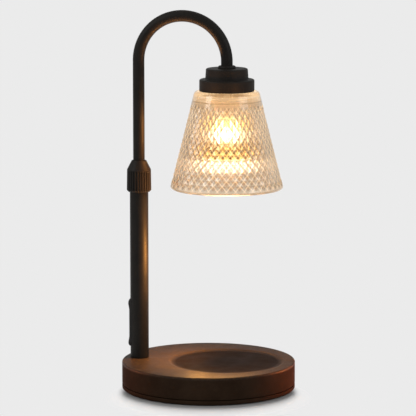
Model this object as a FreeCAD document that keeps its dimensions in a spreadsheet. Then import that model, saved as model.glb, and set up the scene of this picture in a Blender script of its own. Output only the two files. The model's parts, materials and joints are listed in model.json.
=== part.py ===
import FreeCAD, Part
import math
import os
import re
import Sketcher

"""Candle warmer lamp: a weighted round base, a telescopic pole with a collet lock and a
rear rocker switch, a gooseneck arm and a cut-glass shade over a downward GU10 lamp.

Frame: +Z up, origin at the centre of the base's underside, the arm reaching along +X.
All lengths are millimetres. Every driving size is a cell of the sheet "Sizes"; what
follows from them is an expression, and the expressions used more than once have names.
"""

V = FreeCAD.Vector

# name of the size, value, what it is
DRIVING_SIZES = [
    # base
    ("base_dia", 150.0, "outside diameter of the base"),
    ("base_height", 24.0, "height of the base's top above the table"),
    ("base_wall", 1.6, "side wall of the shell"),
    ("base_top", 2.0, "top plate of the shell"),
    ("base_round", 1.6, "round along the shell's top edge"),
    ("foot_stand", 0.8, "how far the foot ring stands proud of the bottom plate"),
    ("foot_depth", 1.2, "depth of the foot ring's seat in the bottom plate"),
    ("foot_width", 12.0, "radial width of the foot ring"),
    ("foot_inset", 3.0, "foot ring's edge to the bottom plate's edge"),
    ("plate_thick", 3.4, "bottom plate"),
    ("plate_round", 0.5, "round along the bottom plate's edges"),
    ("plate_rim", 2.2, "height of the locating rim on the bottom plate"),
    ("plate_rim_wall", 1.3, "radial width of the locating rim"),
    ("groove_gap", 0.8, "shadow groove between bottom plate and shell"),
    ("recess_margin", 9.4, "candle recess to the base's rim, at their closest"),
    ("recess_depth", 0.8, "depth of the candle recess"),
    ("recess_slope", 1.2, "how far the recess wall runs inwards on its way down"),
    ("ballast_thick", 8.0, "thickness of the iron ballast disc"),
    ("ballast_gap", 7.4, "ballast disc to the shell's inner wall"),
    ("boss_circle", 100.0, "diameter of the circle that the screw bosses stand on"),
    ("boss_dia", 8.0, "outside diameter of a screw boss"),
    ("boss_gap", 0.5, "radial clearance of the ballast round a boss"),
    ("screw_dia", 3.0, "shank of the bottom screws and holder screws"),
    ("screw_head", 6.0, "head diameter of those screws"),
    ("screw_length", 12.0, "length of a bottom screw"),
    ("cord_dia", 6.4, "bore of the cord inlet"),
    ("inlet_wall", 1.2, "wall of the inlet grommet"),
    ("inlet_flange", 1.0, "how far its inner flange stands out"),
    ("inlet_height", 14.0, "cord inlet's axis above the table"),
    ("inlet_length", 3.9, "length of the inlet grommet"),
    ("inlet_sink", 0.2, "how far the grommet lies inside the rim of the base"),
    ("inlet_clear", 0.3, "inner flange to the shell's wall"),
    # pole, with the tube that slides in it
    ("pole_inset", 13.5, "pole's axis to the rim of the base"),
    ("tube_dia", 10.0, "outside diameter of the arm tube"),
    ("tube_wall", 1.0, "wall of the arm tube"),
    ("bush_wall", 1.4, "radial thickness of the guide bush"),
    ("bush_length", 8.0, "length of the guide bush"),
    ("clip_thick", 0.8, "thickness of a bush clip"),
    ("clip_width", 0.9, "radial width of a bush clip"),
    ("pole_wall", 1.5, "wall of the lower pole"),
    ("pole_length", 148.0, "length of the lower pole above the base"),
    ("plug_length", 6.0, "length of the foot plug inside the pole"),
    ("stud_dia", 10.0, "threaded stud under the foot plug"),
    ("stud_length", 10.0, "length of the stud below the base's top"),
    ("stud_bore", 5.0, "lead passage through the stud"),
    ("washer_thick", 1.5, "pole washer"),
    ("washer_dia", 20.0, "pole washer"),
    ("pole_nut_flats", 16.0, "pole nut across flats"),
    ("pole_nut_thick", 5.0, "pole nut"),
    ("arm_rise", 6.0, "travel of the arm upwards from the modelled height"),
    # collet lock
    ("spigot_length", 13.5, "lock body's spigot inside the pole"),
    ("thread_step", 0.3, "lock body's thread stands this far outside the pole"),
    ("thread_length", 13.0, "lock body above the pole's end"),
    ("seat_depth", 5.0, "depth of the lock body's conical seat"),
    ("seat_root", 0.9, "collet's wall at the seat's root"),
    ("seat_width", 1.3, "radial growth of the seat from its root to its mouth"),
    ("collet_top", 21.2, "collet's upper end above the pole's end"),
    ("collet_slot", 1.0, "width of the collet's slots"),
    ("collet_ring", 2.2, "height of the collet's unslotted ring"),
    ("collet_tip", 0.6, "collet's wall at its upper end"),
    ("lock_skirt", 2.0, "how far the lock nut reaches down over the pole"),
    ("lock_height", 27.3, "height of the lock nut"),
    ("lock_dia", 21.2, "lock nut at the bottom of its knurl"),
    ("lock_top_dia", 20.7, "lock nut at the top of its knurl"),
    ("lock_cone", 8.0, "height of the lock nut's cone"),
    ("lock_mouth", 12.6, "outside diameter of the cone's upper end"),
    ("lock_lip", 0.3, "radial gap between the lock nut's mouth and the tube"),
    ("lock_lip_height", 3.8, "height of the straight bore at the mouth"),
    ("lock_bevel", 1.5, "bevel along the lock nut's lower edge"),
    ("knurl_count", 28, "flutes round the lock nut"),
    ("knurl_depth", 0.6, "depth of a flute"),
    ("knurl_width", 1.1, "width of a flute"),
    # rocker switch
    ("rocker_height", 54.8, "rocker's pivot above the table"),
    ("rocker_length", 43.0, "height of the paddle"),
    ("rocker_width", 10.7, "width of the paddle"),
    ("rocker_back", 4.6, "pole's axis to the paddle's flat back"),
    ("rocker_proud", 0.2, "how far the paddle's middle stands out of the pole"),
    ("rocker_lobe", 1.1, "how far its two end lobes stand out of the pole"),
    ("rocker_edge", 0.1, "how far its two ends stand out of the pole"),
    ("lobe_inset", 3.0, "peak of a lobe to the paddle's end"),
    ("lobe_length", 8.5, "lobe along the paddle"),
    ("slot_gap", 0.5, "gap between the paddle and its slot in the pole"),
    ("pivot_depth", 3.0, "pole's axis to the rocker's pivot"),
    ("pin_dia", 1.6, "rocker pin"),
    ("lug_width", 5.0, "rocker's pivot lug, along the pin"),
    ("lug_height", 5.2, "rocker's pivot lug, along the pole"),
    ("lug_root", 1.2, "pole's axis to the lug's end"),
    ("lug_gap", 0.3, "clearance beside the lug"),
    ("ear_width", 2.0, "switch module's ears, along the pin"),
    ("ear_reach", 4.2, "pole's axis to the outer face of the ears"),
    ("module_face", 2.9, "pole's axis to the switch module's face"),
    ("module_length", 47.0, "height of the switch module"),
    # arm and head
    ("bend_radius", 38.75, "centre line of the gooseneck's bend"),
    ("bend_drop", 3.0, "straight stretch between the bend and the cap's ring"),
    ("cap_top_height", 278.6, "top of the shade cap above the table"),
    ("cap_ring_height", 2.4, "ring between arm and cap"),
    ("cap_ring_dia", 15.4, "ring between arm and cap"),
    ("cap_ring_round", 2.0, "round along the ring's upper edge"),
    ("cap_wall", 1.0, "sheet of the shade cap"),
    ("cap_top_dia", 35.8, "upper drum of the cap at its top"),
    ("cap_neck_dia", 37.0, "upper drum of the cap at its foot"),
    ("cap_skirt_dia", 47.2, "lower drum of the cap"),
    ("cap_step", 9.3, "height of the upper drum"),
    ("cap_height", 19.3, "height of the whole cap"),
    ("cap_round", 1.3, "round along the cap's two upper edges"),
    ("cap_fillet", 0.6, "fillet where the upper drum meets the step"),
    ("spacer_thick", 2.2, "spacer ring under the cap's top"),
    ("spacer_dia", 16.0, "spacer ring under the cap's top"),
    ("cup_wall", 1.0, "sheet of the gallery cup"),
    ("cup_dia", 33.6, "outside diameter of the gallery cup"),
    ("tube_nut_flats", 14.0, "nut on the arm tube's threaded end, across flats"),
    ("tube_nut_thick", 3.5, "nut on the arm tube's threaded end"),
    ("tube_tip", 0.9, "how far the tube's end stands out of that nut"),
    # glass shade
    ("shade_height", 84.3, "height of the glass"),
    ("shade_top_dia", 55.2, "its cone produced to the top face"),
    ("shade_dia", 97.8, "its cone at the rim"),
    ("shade_wall", 3.0, "radial thickness of its wall"),
    ("shade_top", 4.0, "thickness of its top"),
    ("shade_shoulder", 3.2, "round of its shoulder"),
    ("shade_inner_round", 2.4, "round inside the shoulder"),
    ("shade_rim_round", 1.3, "round along both edges of its rim"),
    ("shade_hole_gap", 0.5, "clearance of its hole round the gallery cup"),
    ("ring_width", 4.7, "radial width of the shade ring"),
    ("ring_thick", 4.0, "thickness of the shade ring"),
    # lampholder and lamp
    ("holder_dia", 30.8, "lampholder"),
    ("holder_height", 10.5, "lampholder above its face plate"),
    ("holder_drop", 12.4, "cup's top to the top of the lampholder"),
    ("face_thick", 2.0, "keyhole plate of the lampholder"),
    ("chamber_depth", 5.0, "depth of the chamber for the pin heads"),
    ("post_circle", 24.6, "diameter of the circle that the holder's posts stand on"),
    ("post_dia", 5.6, "posts of the lampholder"),
    ("holder_screw_length", 7.0, "screws that hold the lampholder"),
    ("screw_head_thick", 1.6, "head of those screws"),
    ("lamp_pins", 10.0, "pin spacing of the lamp"),
    ("pin_neck", 3.2, "neck of a lamp pin"),
    ("pin_head", 4.8, "head of a lamp pin"),
    ("pin_length", 5.0, "length of a lamp pin"),
    ("pin_head_thick", 2.2, "thickness of a pin's head"),
    ("lamp_twist", 30.0, "turn of the lamp between lock and release, degrees"),
    ("lamp_gap", 0.3, "lamp base to the lampholder's face plate"),
    ("lamp_dia", 50.0, "reflector rim"),
    ("lamp_length", 48.7, "lamp without its pins"),
    ("lamp_rim", 5.5, "height of the reflector's rim"),
    ("lamp_base_height", 15.2, "ceramic base of the lamp"),
    ("lamp_collar", 3.0, "height of the base's collar over the reflector"),
    ("lamp_slope", 1.5, "height of the taper above that collar"),
    ("lamp_neck_dia", 24.0, "reflector where it meets the base"),
    ("lamp_base_dia", 22.0, "ceramic base at the pins"),
    ("lamp_flats", 17.0, "width across the base's two flats"),
    ("lamp_wall", 1.2, "glass of the reflector"),
    ("lens_thick", 1.6, "front glass"),
    ("lens_inset", 0.6, "front glass behind the reflector's rim"),
    ("capsule_dia", 9.0, "burner capsule"),
    ("capsule_length", 18.0, "burner capsule"),
    ("capsule_round", 4.0, "round of the capsule's tip"),
    # fits
    ("seat_gap", 0.05, "radial gap of pieces pressed or screwed together"),
    ("run_gap", 0.05, "radial gap of pieces that turn or slide"),
    ("stop_gap", 0.5, "gap left at the ends of a travel"),
    ("end_gap", 0.1, "axial gap beside a turning piece"),
]

# heights and places worked out from the driving sizes, as expressions
BASE_R = "(base_dia/2)"
POLE_X = f"(pole_inset-{BASE_R})"
SHADE_X = f"({POLE_X}+2*bend_radius)"
PLATE_TOP = "(foot_stand+plate_thick)"
SHELL_FOOT = f"({PLATE_TOP}+groove_gap)"
SHELL_ROOF = "(base_height-base_top)"
BORE_R = f"({BASE_R}-base_wall)"
FOOT_R = f"({BASE_R}-foot_inset)"
RECESS_R = f"({BASE_R}-{SHADE_X}-recess_margin)"
TUBE_R = "(tube_dia/2)"
POLE_BORE = f"({TUBE_R}+run_gap+bush_wall+run_gap)"
POLE_R = f"({POLE_BORE}+pole_wall)"
POLE_TOP = "(base_height+pole_length)"
BUSH_TOP = f"({POLE_TOP}-spigot_length-stop_gap-arm_rise-clip_thick-end_gap)"
TUBE_FOOT = f"({BUSH_TOP}-bush_length-end_gap-clip_thick-stop_gap)"
THREAD_R = f"({POLE_R}+thread_step)"
THREAD_TOP = f"({POLE_TOP}+thread_length)"
SEAT_ROOT = f"({THREAD_TOP}-seat_depth)"
SEAT_R = f"({TUBE_R}+run_gap+seat_root)"
SEAT_MOUTH = f"({SEAT_R}+seat_width)"
LOCK_FOOT = f"({POLE_TOP}-lock_skirt)"
LOCK_TOP = f"({LOCK_FOOT}+lock_height)"
CONE_FOOT = f"({LOCK_TOP}-lock_cone)"
COLLET_TOP = f"({POLE_TOP}+collet_top)"
BEND_HEIGHT = "(cap_top_height+cap_ring_height+bend_drop)"
CAP_FOOT = "(cap_top_height-cap_height)"
CAP_STEP = "(cap_top_height-cap_step)"
CAP_ROOF = "(cap_top_height-cap_wall)"
CUP_TOP = f"({CAP_ROOF}-spacer_thick)"
CUP_ROOF = f"({CUP_TOP}-cup_wall)"
CUP_R = "(cup_dia/2)"
GLASS_TOP = CAP_FOOT
GLASS_FOOT = f"({GLASS_TOP}-shade_height)"
GLASS_ROOF = f"({GLASS_TOP}-shade_top)"
RING_FOOT = f"({GLASS_ROOF}-ring_thick)"
HOLDER_TOP = f"({CUP_ROOF}-holder_drop)"
HOLDER_FOOT = f"({HOLDER_TOP}-holder_height)"
FACE_FOOT = f"({HOLDER_FOOT}-face_thick)"
LAMP_TOP = f"({FACE_FOOT}-lamp_gap)"
LAMP_FOOT = f"({LAMP_TOP}-lamp_length)"
LAMP_NECK = f"({LAMP_TOP}-lamp_base_height)"
TUBE_TIP = f"({CUP_ROOF}-tube_nut_thick-tube_tip)"

doc = FreeCAD.newDocument("CandleWarmerLamp")
sheet = doc.addObject("Spreadsheet::Sheet", "Sizes")
parts = []


# ---------------------------------------------------------------- sheet and expressions


def fill_sheet():
    """Write each driving size, its name and what it is into a row of the sheet."""
    for row, (name, number, meaning) in enumerate(DRIVING_SIZES, start=1):
        sheet.set(f"A{row}", name)
        sheet.set(f"B{row}", str(number))
        sheet.set(f"C{row}", meaning)
        sheet.setAlias(f"B{row}", name)
    doc.recompute()


def linked(text):
    """The same expression with every size looked up in the sheet."""
    return re.sub(r"\b(?!deg\b)[a-z][a-z_]*\b(?!\()", r"Sizes.\g<0>", text)


def value(text):
    """The number that an expression in the sheet's sizes comes to now."""
    return float(sheet.evalExpression(text))


def bind(thing, prop, text):
    """Tie one property of an object to an expression."""
    thing.setExpression(prop, linked(text))


# ---------------------------------------------------------------- bodies and sketches


def new_body(label, along_x="0", up="0"):
    """A body with its own label, placed at along_x and up in the lamp's frame."""
    body = doc.addObject("PartDesign::Body", label)
    body.Label = label
    bind(body, "Placement.Base.x", along_x)
    bind(body, "Placement.Base.z", up)
    parts.append(body)
    return body


def origin_item(body, role):
    """The origin plane or axis of a body with that role."""
    return next(f for f in body.Origin.OriginFeatures if f.Role == role)


def new_sketch(body, role, offset="0"):
    """A sketch on an origin plane of the body, moved along the plane's normal."""
    sketch = body.newObject("Sketcher::SketchObject", f"{body.Name}_sketch")
    sketch.AttachmentSupport = [(origin_item(body, role), "")]
    sketch.MapMode = "FlatFace"
    bind(sketch, "AttachmentOffset.Base.z", offset)
    return sketch


def hold(sketch, kind, piece, end, text):
    """Fix one coordinate of a point of a sketch at an expression."""
    number = sketch.addConstraint(Sketcher.Constraint(kind, -1, 1, piece, end, value(text)))
    bind(sketch, f"Constraints[{number}]", text)


def hold_point(sketch, piece, end, across, up):
    """Fix a point of a sketch at two expressions."""
    hold(sketch, "DistanceX", piece, end, across)
    hold(sketch, "DistanceY", piece, end, up)


def join(sketch, piece, end, other, other_end):
    """Put the ends of two pieces of a sketch together."""
    sketch.addConstraint(Sketcher.Constraint("Coincident", piece, end, other, other_end))


def arc_between(start, end, radius):
    """An arc from start to end; a positive radius bulges to the right of the way."""
    way = end.sub(start)
    half = way.Length / 2
    middle = (start + end) * 0.5
    side = V(way.y, -way.x, 0).normalize()
    depth = math.sqrt(radius * radius - half * half)
    centre = middle - side * math.copysign(depth, radius)
    circle = Part.Circle(centre, V(0, 0, 1), abs(radius))
    first, last = (start, end) if radius > 0 else (end, start)
    return Part.ArcOfCircle(circle, circle.parameter(first), circle.parameter(last))


def draw_loop(sketch, corners, arcs=None):
    """Draw a closed outline through the corners, each fixed by two expressions.

    Args:
        corners: (across, up) expressions, one pair for each corner.
        arcs: radius expression for each stretch that is an arc, by the number of
            the corner it leaves from; the sign picks the side that it bulges to.
    """
    arcs = arcs or {}
    places = [V(value(across), value(up), 0) for across, up in corners]
    ends = []
    for number, start in enumerate(places):
        end = places[(number + 1) % len(places)]
        if number in arcs:
            radius = value(arcs[number])
            piece = sketch.addGeometry(arc_between(start, end, radius), False)
            ends.append((piece, 1, 2) if radius > 0 else (piece, 2, 1))
            size = Sketcher.Constraint("Radius", piece, abs(radius))
            rule = sketch.addConstraint(size)
            bind(sketch, f"Constraints[{rule}]", f"abs({arcs[number]})")
        else:
            piece = sketch.addGeometry(Part.LineSegment(start, end), False)
            ends.append((piece, 1, 2))
    for number, (across, up) in enumerate(corners):
        piece, first, _ = ends[number]
        before, _, last = ends[number - 1]
        join(sketch, before, last, piece, first)
        hold_point(sketch, piece, first, across, up)


def draw_circle(sketch, across, up, radius):
    """Draw a circle whose centre and radius are expressions."""
    place = V(value(across), value(up), 0)
    circle = Part.Circle(place, V(0, 0, 1), value(radius))
    piece = sketch.addGeometry(circle, False)
    hold_point(sketch, piece, 3, across, up)
    rule = sketch.addConstraint(Sketcher.Constraint("Radius", piece, value(radius)))
    bind(sketch, f"Constraints[{rule}]", radius)


def draw_box(sketch, low, high):
    """Draw an upright rectangle between two corners."""
    corners = [low, (high[0], low[1]), high, (low[0], high[1])]
    draw_loop(sketch, corners)


def draw_hexagon(sketch, flats):
    """Draw a hexagon round the origin, its corners on the first axis."""
    reach = f"({flats}/2/cos(30 deg))"
    ring = [(1, 0), (0.5, 1), (-0.5, 1), (-1, 0), (-0.5, -1), (0.5, -1)]
    draw_loop(sketch, [(f"{reach}*{x}", f"{flats}/2*{y}") for x, y in ring])


def draw_obround(sketch, width, length):
    """Draw an upright slot shape round the origin."""
    side = f"({width}/2)"
    high = f"({length}/2-{side})"
    low = f"-{high}"
    reach = value(side)
    top = value(high)
    right = sketch.addGeometry(Part.LineSegment(V(reach, -top, 0), V(reach, top, 0)), False)
    left = sketch.addGeometry(Part.LineSegment(V(-reach, top, 0), V(-reach, -top, 0)), False)
    upper_circle = Part.Circle(V(0, top, 0), V(0, 0, 1), reach)
    lower_circle = Part.Circle(V(0, -top, 0), V(0, 0, 1), reach)
    upper = sketch.addGeometry(Part.ArcOfCircle(upper_circle, 0, math.pi), False)
    lower = sketch.addGeometry(Part.ArcOfCircle(lower_circle, math.pi, 2 * math.pi), False)
    join(sketch, right, 2, upper, 1)
    join(sketch, upper, 2, left, 1)
    join(sketch, left, 2, lower, 1)
    join(sketch, lower, 2, right, 1)
    hold_point(sketch, upper, 3, "0", high)
    hold_point(sketch, lower, 3, "0", low)
    hold_point(sketch, right, 1, side, low)
    hold_point(sketch, right, 2, side, high)
    hold(sketch, "DistanceY", left, 1, high)
    hold(sketch, "DistanceY", left, 2, low)


# ---------------------------------------------------------------- features


def add(body, kind, sketch=None):
    """A new feature of the body, with the sketch as its profile."""
    feature = body.newObject(f"PartDesign::{kind}", f"{body.Name}_{kind.lower()}")
    if sketch is not None:
        feature.Profile = sketch
    body.Tip = feature
    return feature


def turn(body, sketch, kind="Revolution"):
    """Turn the sketch once round the sketch's upright axis, as solid or as cut."""
    feature = add(body, kind, sketch)
    feature.ReferenceAxis = (sketch, ["V_Axis"])
    feature.Angle = 360
    return feature


def pad(body, sketch, length, both_ways=False, back=False):
    """Pad the sketch by a length."""
    feature = add(body, "Pad", sketch)
    bind(feature, "Length", length)
    feature.Midplane = both_ways
    feature.Reversed = back
    return feature


def pocket(body, sketch, length, both_ways=False, back=False):
    """Cut the sketch out of the body and make sure that it cut something."""
    doc.recompute()
    before = body.Shape.Volume
    feature = add(body, "Pocket", sketch)
    bind(feature, "Length", length)
    feature.Midplane = both_ways
    feature.Reversed = back
    doc.recompute()
    require_less(body, before)
    return feature


def groove(body, sketch):
    """Turn the sketch round the body's axis as a cut, and make sure that it cut."""
    doc.recompute()
    before = body.Shape.Volume
    feature = turn(body, sketch, "Groove")
    doc.recompute()
    require_less(body, before)
    return feature


def require_less(body, before):
    """Stop when the last cut of a body took nothing away."""
    if body.Shape.Volume > before - 1e-3:
        raise RuntimeError(f"{body.Label}: the last cut removed nothing")


def repeat(body, features, count):
    """Repeat features of a body round its upright axis."""
    pattern = body.newObject("PartDesign::PolarPattern", f"{body.Name}_pattern")
    pattern.Originals = features
    pattern.Axis = (origin_item(body, "Z_Axis"), [""])
    pattern.Angle = 360
    bind(pattern, "Occurrences", count)
    body.Tip = pattern
    return pattern


def ring_edges(feature, rings):
    """Names of the circular edges with these radii and heights on a body's axis."""
    names = []
    for radius, height in rings:
        for number, edge in enumerate(feature.Shape.Edges, start=1):
            curve = edge.Curve
            if not isinstance(curve, Part.Circle):
                continue
            centre = curve.Center
            on_axis = math.hypot(centre.x, centre.y) < 1e-4
            same = abs(curve.Radius - value(radius)) + abs(centre.z - value(height)) < 1e-3
            if on_axis and same:
                names.append(f"Edge{number}")
    if len(names) < len(rings):
        raise RuntimeError(f"{feature.Label}: a ring to round isn't there")
    return names


def blend(body, feature, rings, size, kind="Fillet"):
    """Round or bevel the circular edges of a feature."""
    doc.recompute()
    names = ring_edges(feature, rings)
    work = add(body, kind)
    work.Base = (feature, names)
    bind(work, "Radius" if kind == "Fillet" else "Size", size)
    return work


def turned(label, outline, arcs=None, along_x="0"):
    """A body whose first feature is an outline turned round its upright axis."""
    body = new_body(label, along_x)
    sketch = new_sketch(body, "XZ_Plane")
    draw_loop(sketch, outline, arcs)
    return body, turn(body, sketch)


def ring(label, inner, outer, low, high, along_x="0"):
    """A plain ring between two radii and two heights."""
    outline = [(inner, low), (outer, low), (outer, high), (inner, high)]
    return turned(label, outline, None, along_x)


def hex_nut(label, flats, bore, low, thick, along_x):
    """A hexagon nut with a plain bore."""
    body = new_body(label, along_x)
    sketch = new_sketch(body, "XY_Plane", low)
    draw_hexagon(sketch, flats)
    draw_circle(sketch, "0", "0", bore)
    pad(body, sketch, thick)
    return body


def around(circle, degrees):
    """Expressions of a place on a circle of that diameter round the body's axis."""
    angle = f"({degrees})*1 deg"
    return f"{circle}/2*cos({angle})", f"{circle}/2*sin({angle})"


# ---------------------------------------------------------------- base


def make_base_shell():
    """Spun cover with the candle recess, four screw bosses and the cord's hole."""
    outline = [
        ("0", SHELL_ROOF),
        (BORE_R, SHELL_ROOF),
        (BORE_R, SHELL_FOOT),
        (BASE_R, SHELL_FOOT),
        (BASE_R, "base_height"),
        ("0", "base_height"),
    ]
    body, shell = turned("base_shell", outline)
    blend(body, shell, [(BASE_R, "base_height")], "base_round")

    recess = new_sketch(body, "XZ_Plane")
    bind(recess, "AttachmentOffset.Base.x", SHADE_X)
    floor = "(base_height-recess_depth)"
    draw_loop(
        recess,
        [
            ("0", floor),
            (f"{RECESS_R}-recess_slope", floor),
            (RECESS_R, "base_height"),
            (RECESS_R, "base_height+recess_depth"),
            ("0", "base_height+recess_depth"),
        ],
    )
    groove(body, recess)

    boss = new_sketch(body, "XY_Plane", PLATE_TOP)
    across, up = around("boss_circle", "45")
    draw_circle(boss, across, up, "boss_dia/2")
    draw_circle(boss, across, up, "screw_dia/2+seat_gap")
    post = pad(body, boss, f"{SHELL_ROOF}-{PLATE_TOP}")
    repeat(body, [post], "4")

    hole = new_sketch(body, "XY_Plane", SHELL_ROOF)
    draw_circle(hole, POLE_X, "0", "stud_dia/2+seat_gap")
    pocket(body, hole, "base_top", back=True)

    inlet = new_sketch(body, "YZ_Plane", f"-{BASE_R}")
    draw_circle(inlet, "0", "inlet_height", "cord_dia/2+inlet_wall+seat_gap")
    pocket(body, inlet, "base_wall*2", back=True)


def make_bottom_plate():
    """Steel plate with the foot ring's seat, countersunk holes and a locating rim."""
    rim = f"({BORE_R}-seat_gap)"
    seat = "(foot_stand+foot_depth)"
    outline = [
        ("0", "foot_stand"),
        (f"{FOOT_R}-foot_width-seat_gap", "foot_stand"),
        (f"{FOOT_R}-foot_width-seat_gap", seat),
        (f"{FOOT_R}+seat_gap", seat),
        (f"{FOOT_R}+seat_gap", "foot_stand"),
        (BASE_R, "foot_stand"),
        (BASE_R, PLATE_TOP),
        (rim, PLATE_TOP),
        (rim, f"{PLATE_TOP}+plate_rim"),
        (f"{rim}-plate_rim_wall", f"{PLATE_TOP}+plate_rim"),
        (f"{rim}-plate_rim_wall", PLATE_TOP),
        ("0", PLATE_TOP),
    ]
    body, plate = turned("bottom_plate", outline)
    edges = [(BASE_R, "foot_stand"), (BASE_R, PLATE_TOP)]
    blend(body, plate, edges, "plate_round")
    hole = new_sketch(body, "XY_Plane", "foot_stand")
    across, up = around("boss_circle", "45")
    draw_circle(hole, across, up, "screw_dia/2+seat_gap")
    through = pocket(body, hole, "plate_thick", back=True)
    sink = new_sketch(body, "XY_Plane", "foot_stand")
    draw_circle(sink, across, up, "screw_head/2+seat_gap")
    seat_cut = pocket(body, sink, "screw_head_thick", back=True)
    repeat(body, [through, seat_cut], "4")


def make_foot_pad():
    """Soft ring that the lamp stands on."""
    top = "(foot_stand+foot_depth)"
    ring("foot_pad", f"{FOOT_R}-foot_width", FOOT_R, "0", top)


def make_ballast():
    """Iron disc on the bottom plate, with clearance round the bosses."""
    body = new_body("ballast_disc")
    disc = new_sketch(body, "XY_Plane", PLATE_TOP)
    draw_circle(disc, "0", "0", f"{BORE_R}-ballast_gap")
    pad(body, disc, "ballast_thick")
    hole = new_sketch(body, "XY_Plane", PLATE_TOP)
    across, up = around("boss_circle", "45")
    draw_circle(hole, across, up, "boss_dia/2+boss_gap")
    cut = pocket(body, hole, "ballast_thick", back=True)
    repeat(body, [cut], "4")


def make_screws(label, place, count, seat, length, down, along_x="0"):
    """Screws round the body's axis, each a head that rises from its seat and a shank.

    Args:
        place: expressions of the first screw's place, across and along.
        down: the shank reaches down from the seat, out of the head.
    """
    body = new_body(label, along_x)
    body.AllowCompound = True
    head = new_sketch(body, "XY_Plane", seat)
    draw_circle(head, *place, "screw_head/2")
    cap = pad(body, head, "screw_head_thick")
    shank = new_sketch(body, "XY_Plane", seat)
    draw_circle(shank, *place, "screw_dia/2")
    rod = pad(body, shank, length, back=down)
    repeat(body, [cap, rod], count)


def make_cord_grommet():
    """Inlet bush in the rear wall, flush outside, flanged inside; its axis is X."""
    body = new_body("cord_grommet", f"inlet_sink-{BASE_R}", "inlet_height")
    tube = new_sketch(body, "YZ_Plane")
    draw_circle(tube, "0", "0", "cord_dia/2+inlet_wall")
    draw_circle(tube, "0", "0", "cord_dia/2")
    pad(body, tube, "inlet_length")
    inside = "(base_wall-inlet_sink+inlet_clear)"
    flange = new_sketch(body, "YZ_Plane", inside)
    draw_circle(flange, "0", "0", "cord_dia/2+inlet_wall+inlet_flange")
    draw_circle(flange, "0", "0", "cord_dia/2")
    pad(body, flange, f"inlet_length-{inside}")


# ---------------------------------------------------------------- pole and its lock


def make_lower_pole():
    """Tube of the pole with the slot that the rocker sits in."""
    body = new_body("lower_pole", POLE_X, "base_height")
    tube = new_sketch(body, "XY_Plane")
    draw_circle(tube, "0", "0", POLE_R)
    draw_circle(tube, "0", "0", POLE_BORE)
    pad(body, tube, "pole_length")
    slot = new_sketch(body, "YZ_Plane")
    bind(slot, "AttachmentOffset.Base.y", "rocker_height-base_height")
    draw_obround(slot, "(rocker_width+2*slot_gap)", "(rocker_length+2*slot_gap)")
    pocket(body, slot, f"{POLE_R}+rocker_lobe")


def make_pole_stud():
    """Foot plug of the pole with its hollow threaded stud."""
    plug = f"({POLE_BORE}-seat_gap)"
    foot = "(base_height-stud_length)"
    outline = [
        ("stud_bore/2", foot),
        ("stud_dia/2", foot),
        ("stud_dia/2", "base_height"),
        (plug, "base_height"),
        (plug, "base_height+plug_length"),
        ("stud_bore/2", "base_height+plug_length"),
    ]
    turned("pole_stud", outline, None, POLE_X)


def make_pole_fastening():
    """Washer and nut that clamp the pole to the base from inside."""
    low = f"({SHELL_ROOF}-washer_thick)"
    bore = "stud_dia/2+seat_gap"
    ring("pole_washer", bore, "washer_dia/2", low, SHELL_ROOF, POLE_X)
    nut_low = f"{low}-pole_nut_thick"
    hex_nut("pole_nut", "pole_nut_flats", bore, nut_low, "pole_nut_thick", POLE_X)


def make_lock_body():
    """Ferrule pressed into the pole: spigot, outer thread and conical seat."""
    spigot = f"({POLE_BORE}-seat_gap)"
    bore = f"({TUBE_R}+run_gap*2)"
    foot = f"({POLE_TOP}-spigot_length)"
    outline = [
        (bore, foot),
        (spigot, foot),
        (spigot, POLE_TOP),
        (THREAD_R, POLE_TOP),
        (THREAD_R, THREAD_TOP),
        (SEAT_MOUTH, THREAD_TOP),
        (SEAT_R, SEAT_ROOT),
        (bore, SEAT_ROOT),
    ]
    turned("lock_body", outline, None, POLE_X)


def make_collet():
    """Double-cone collet round the arm tube, slotted crosswise from its top."""
    bore = f"({TUBE_R}+run_gap)"
    belly = f"({SEAT_MOUTH}-seat_gap)"
    outline = [
        (bore, f"{SEAT_ROOT}+seat_gap"),
        (f"{SEAT_R}-seat_gap", f"{SEAT_ROOT}+seat_gap"),
        (belly, THREAD_TOP),
        (belly, f"{THREAD_TOP}+end_gap+seat_gap"),
        (f"{bore}+collet_tip", COLLET_TOP),
        (bore, COLLET_TOP),
    ]
    body, _ = turned("collet", outline, None, POLE_X)
    slot = new_sketch(body, "XY_Plane", COLLET_TOP)
    draw_box(slot, (f"-{THREAD_R}", "-collet_slot/2"), (THREAD_R, "collet_slot/2"))
    depth = f"{COLLET_TOP}-{SEAT_ROOT}-collet_ring"
    cut = pocket(body, slot, depth)
    pattern = repeat(body, [cut], "2")
    pattern.Angle = 180


def make_lock_nut():
    """Knurled nut: fluted grip, conical nose and an inner cone over the collet."""
    bore = f"({THREAD_R}+run_gap)"
    mouth = f"({TUBE_R}+lock_lip)"
    belly = f"({SEAT_MOUTH}+run_gap)"
    tip = f"({TUBE_R}+run_gap+collet_tip+run_gap*2)"
    step = f"({THREAD_TOP}+end_gap)"
    outline = [
        (bore, LOCK_FOOT),
        ("lock_dia/2", LOCK_FOOT),
        ("lock_top_dia/2", CONE_FOOT),
        ("lock_mouth/2", LOCK_TOP),
        (mouth, LOCK_TOP),
        (mouth, f"{LOCK_TOP}-lock_lip_height"),
        (tip, f"{LOCK_TOP}-lock_lip_height"),
        (belly, step),
        (bore, step),
    ]
    body, nut = turned("lock_nut", outline, None, POLE_X)
    blend(body, nut, [("lock_dia/2", LOCK_FOOT)], "lock_bevel", "Chamfer")
    flute = new_sketch(body, "XY_Plane", LOCK_FOOT)
    draw_loop(
        flute,
        [
            ("lock_dia/2-knurl_depth", "0"),
            ("lock_dia/2+knurl_depth", "-knurl_width"),
            ("lock_dia/2+knurl_depth", "knurl_width"),
        ],
    )
    cut = pocket(body, flute, f"{CONE_FOOT}-{LOCK_FOOT}", back=True)
    repeat(body, [cut], "knurl_count")


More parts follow.
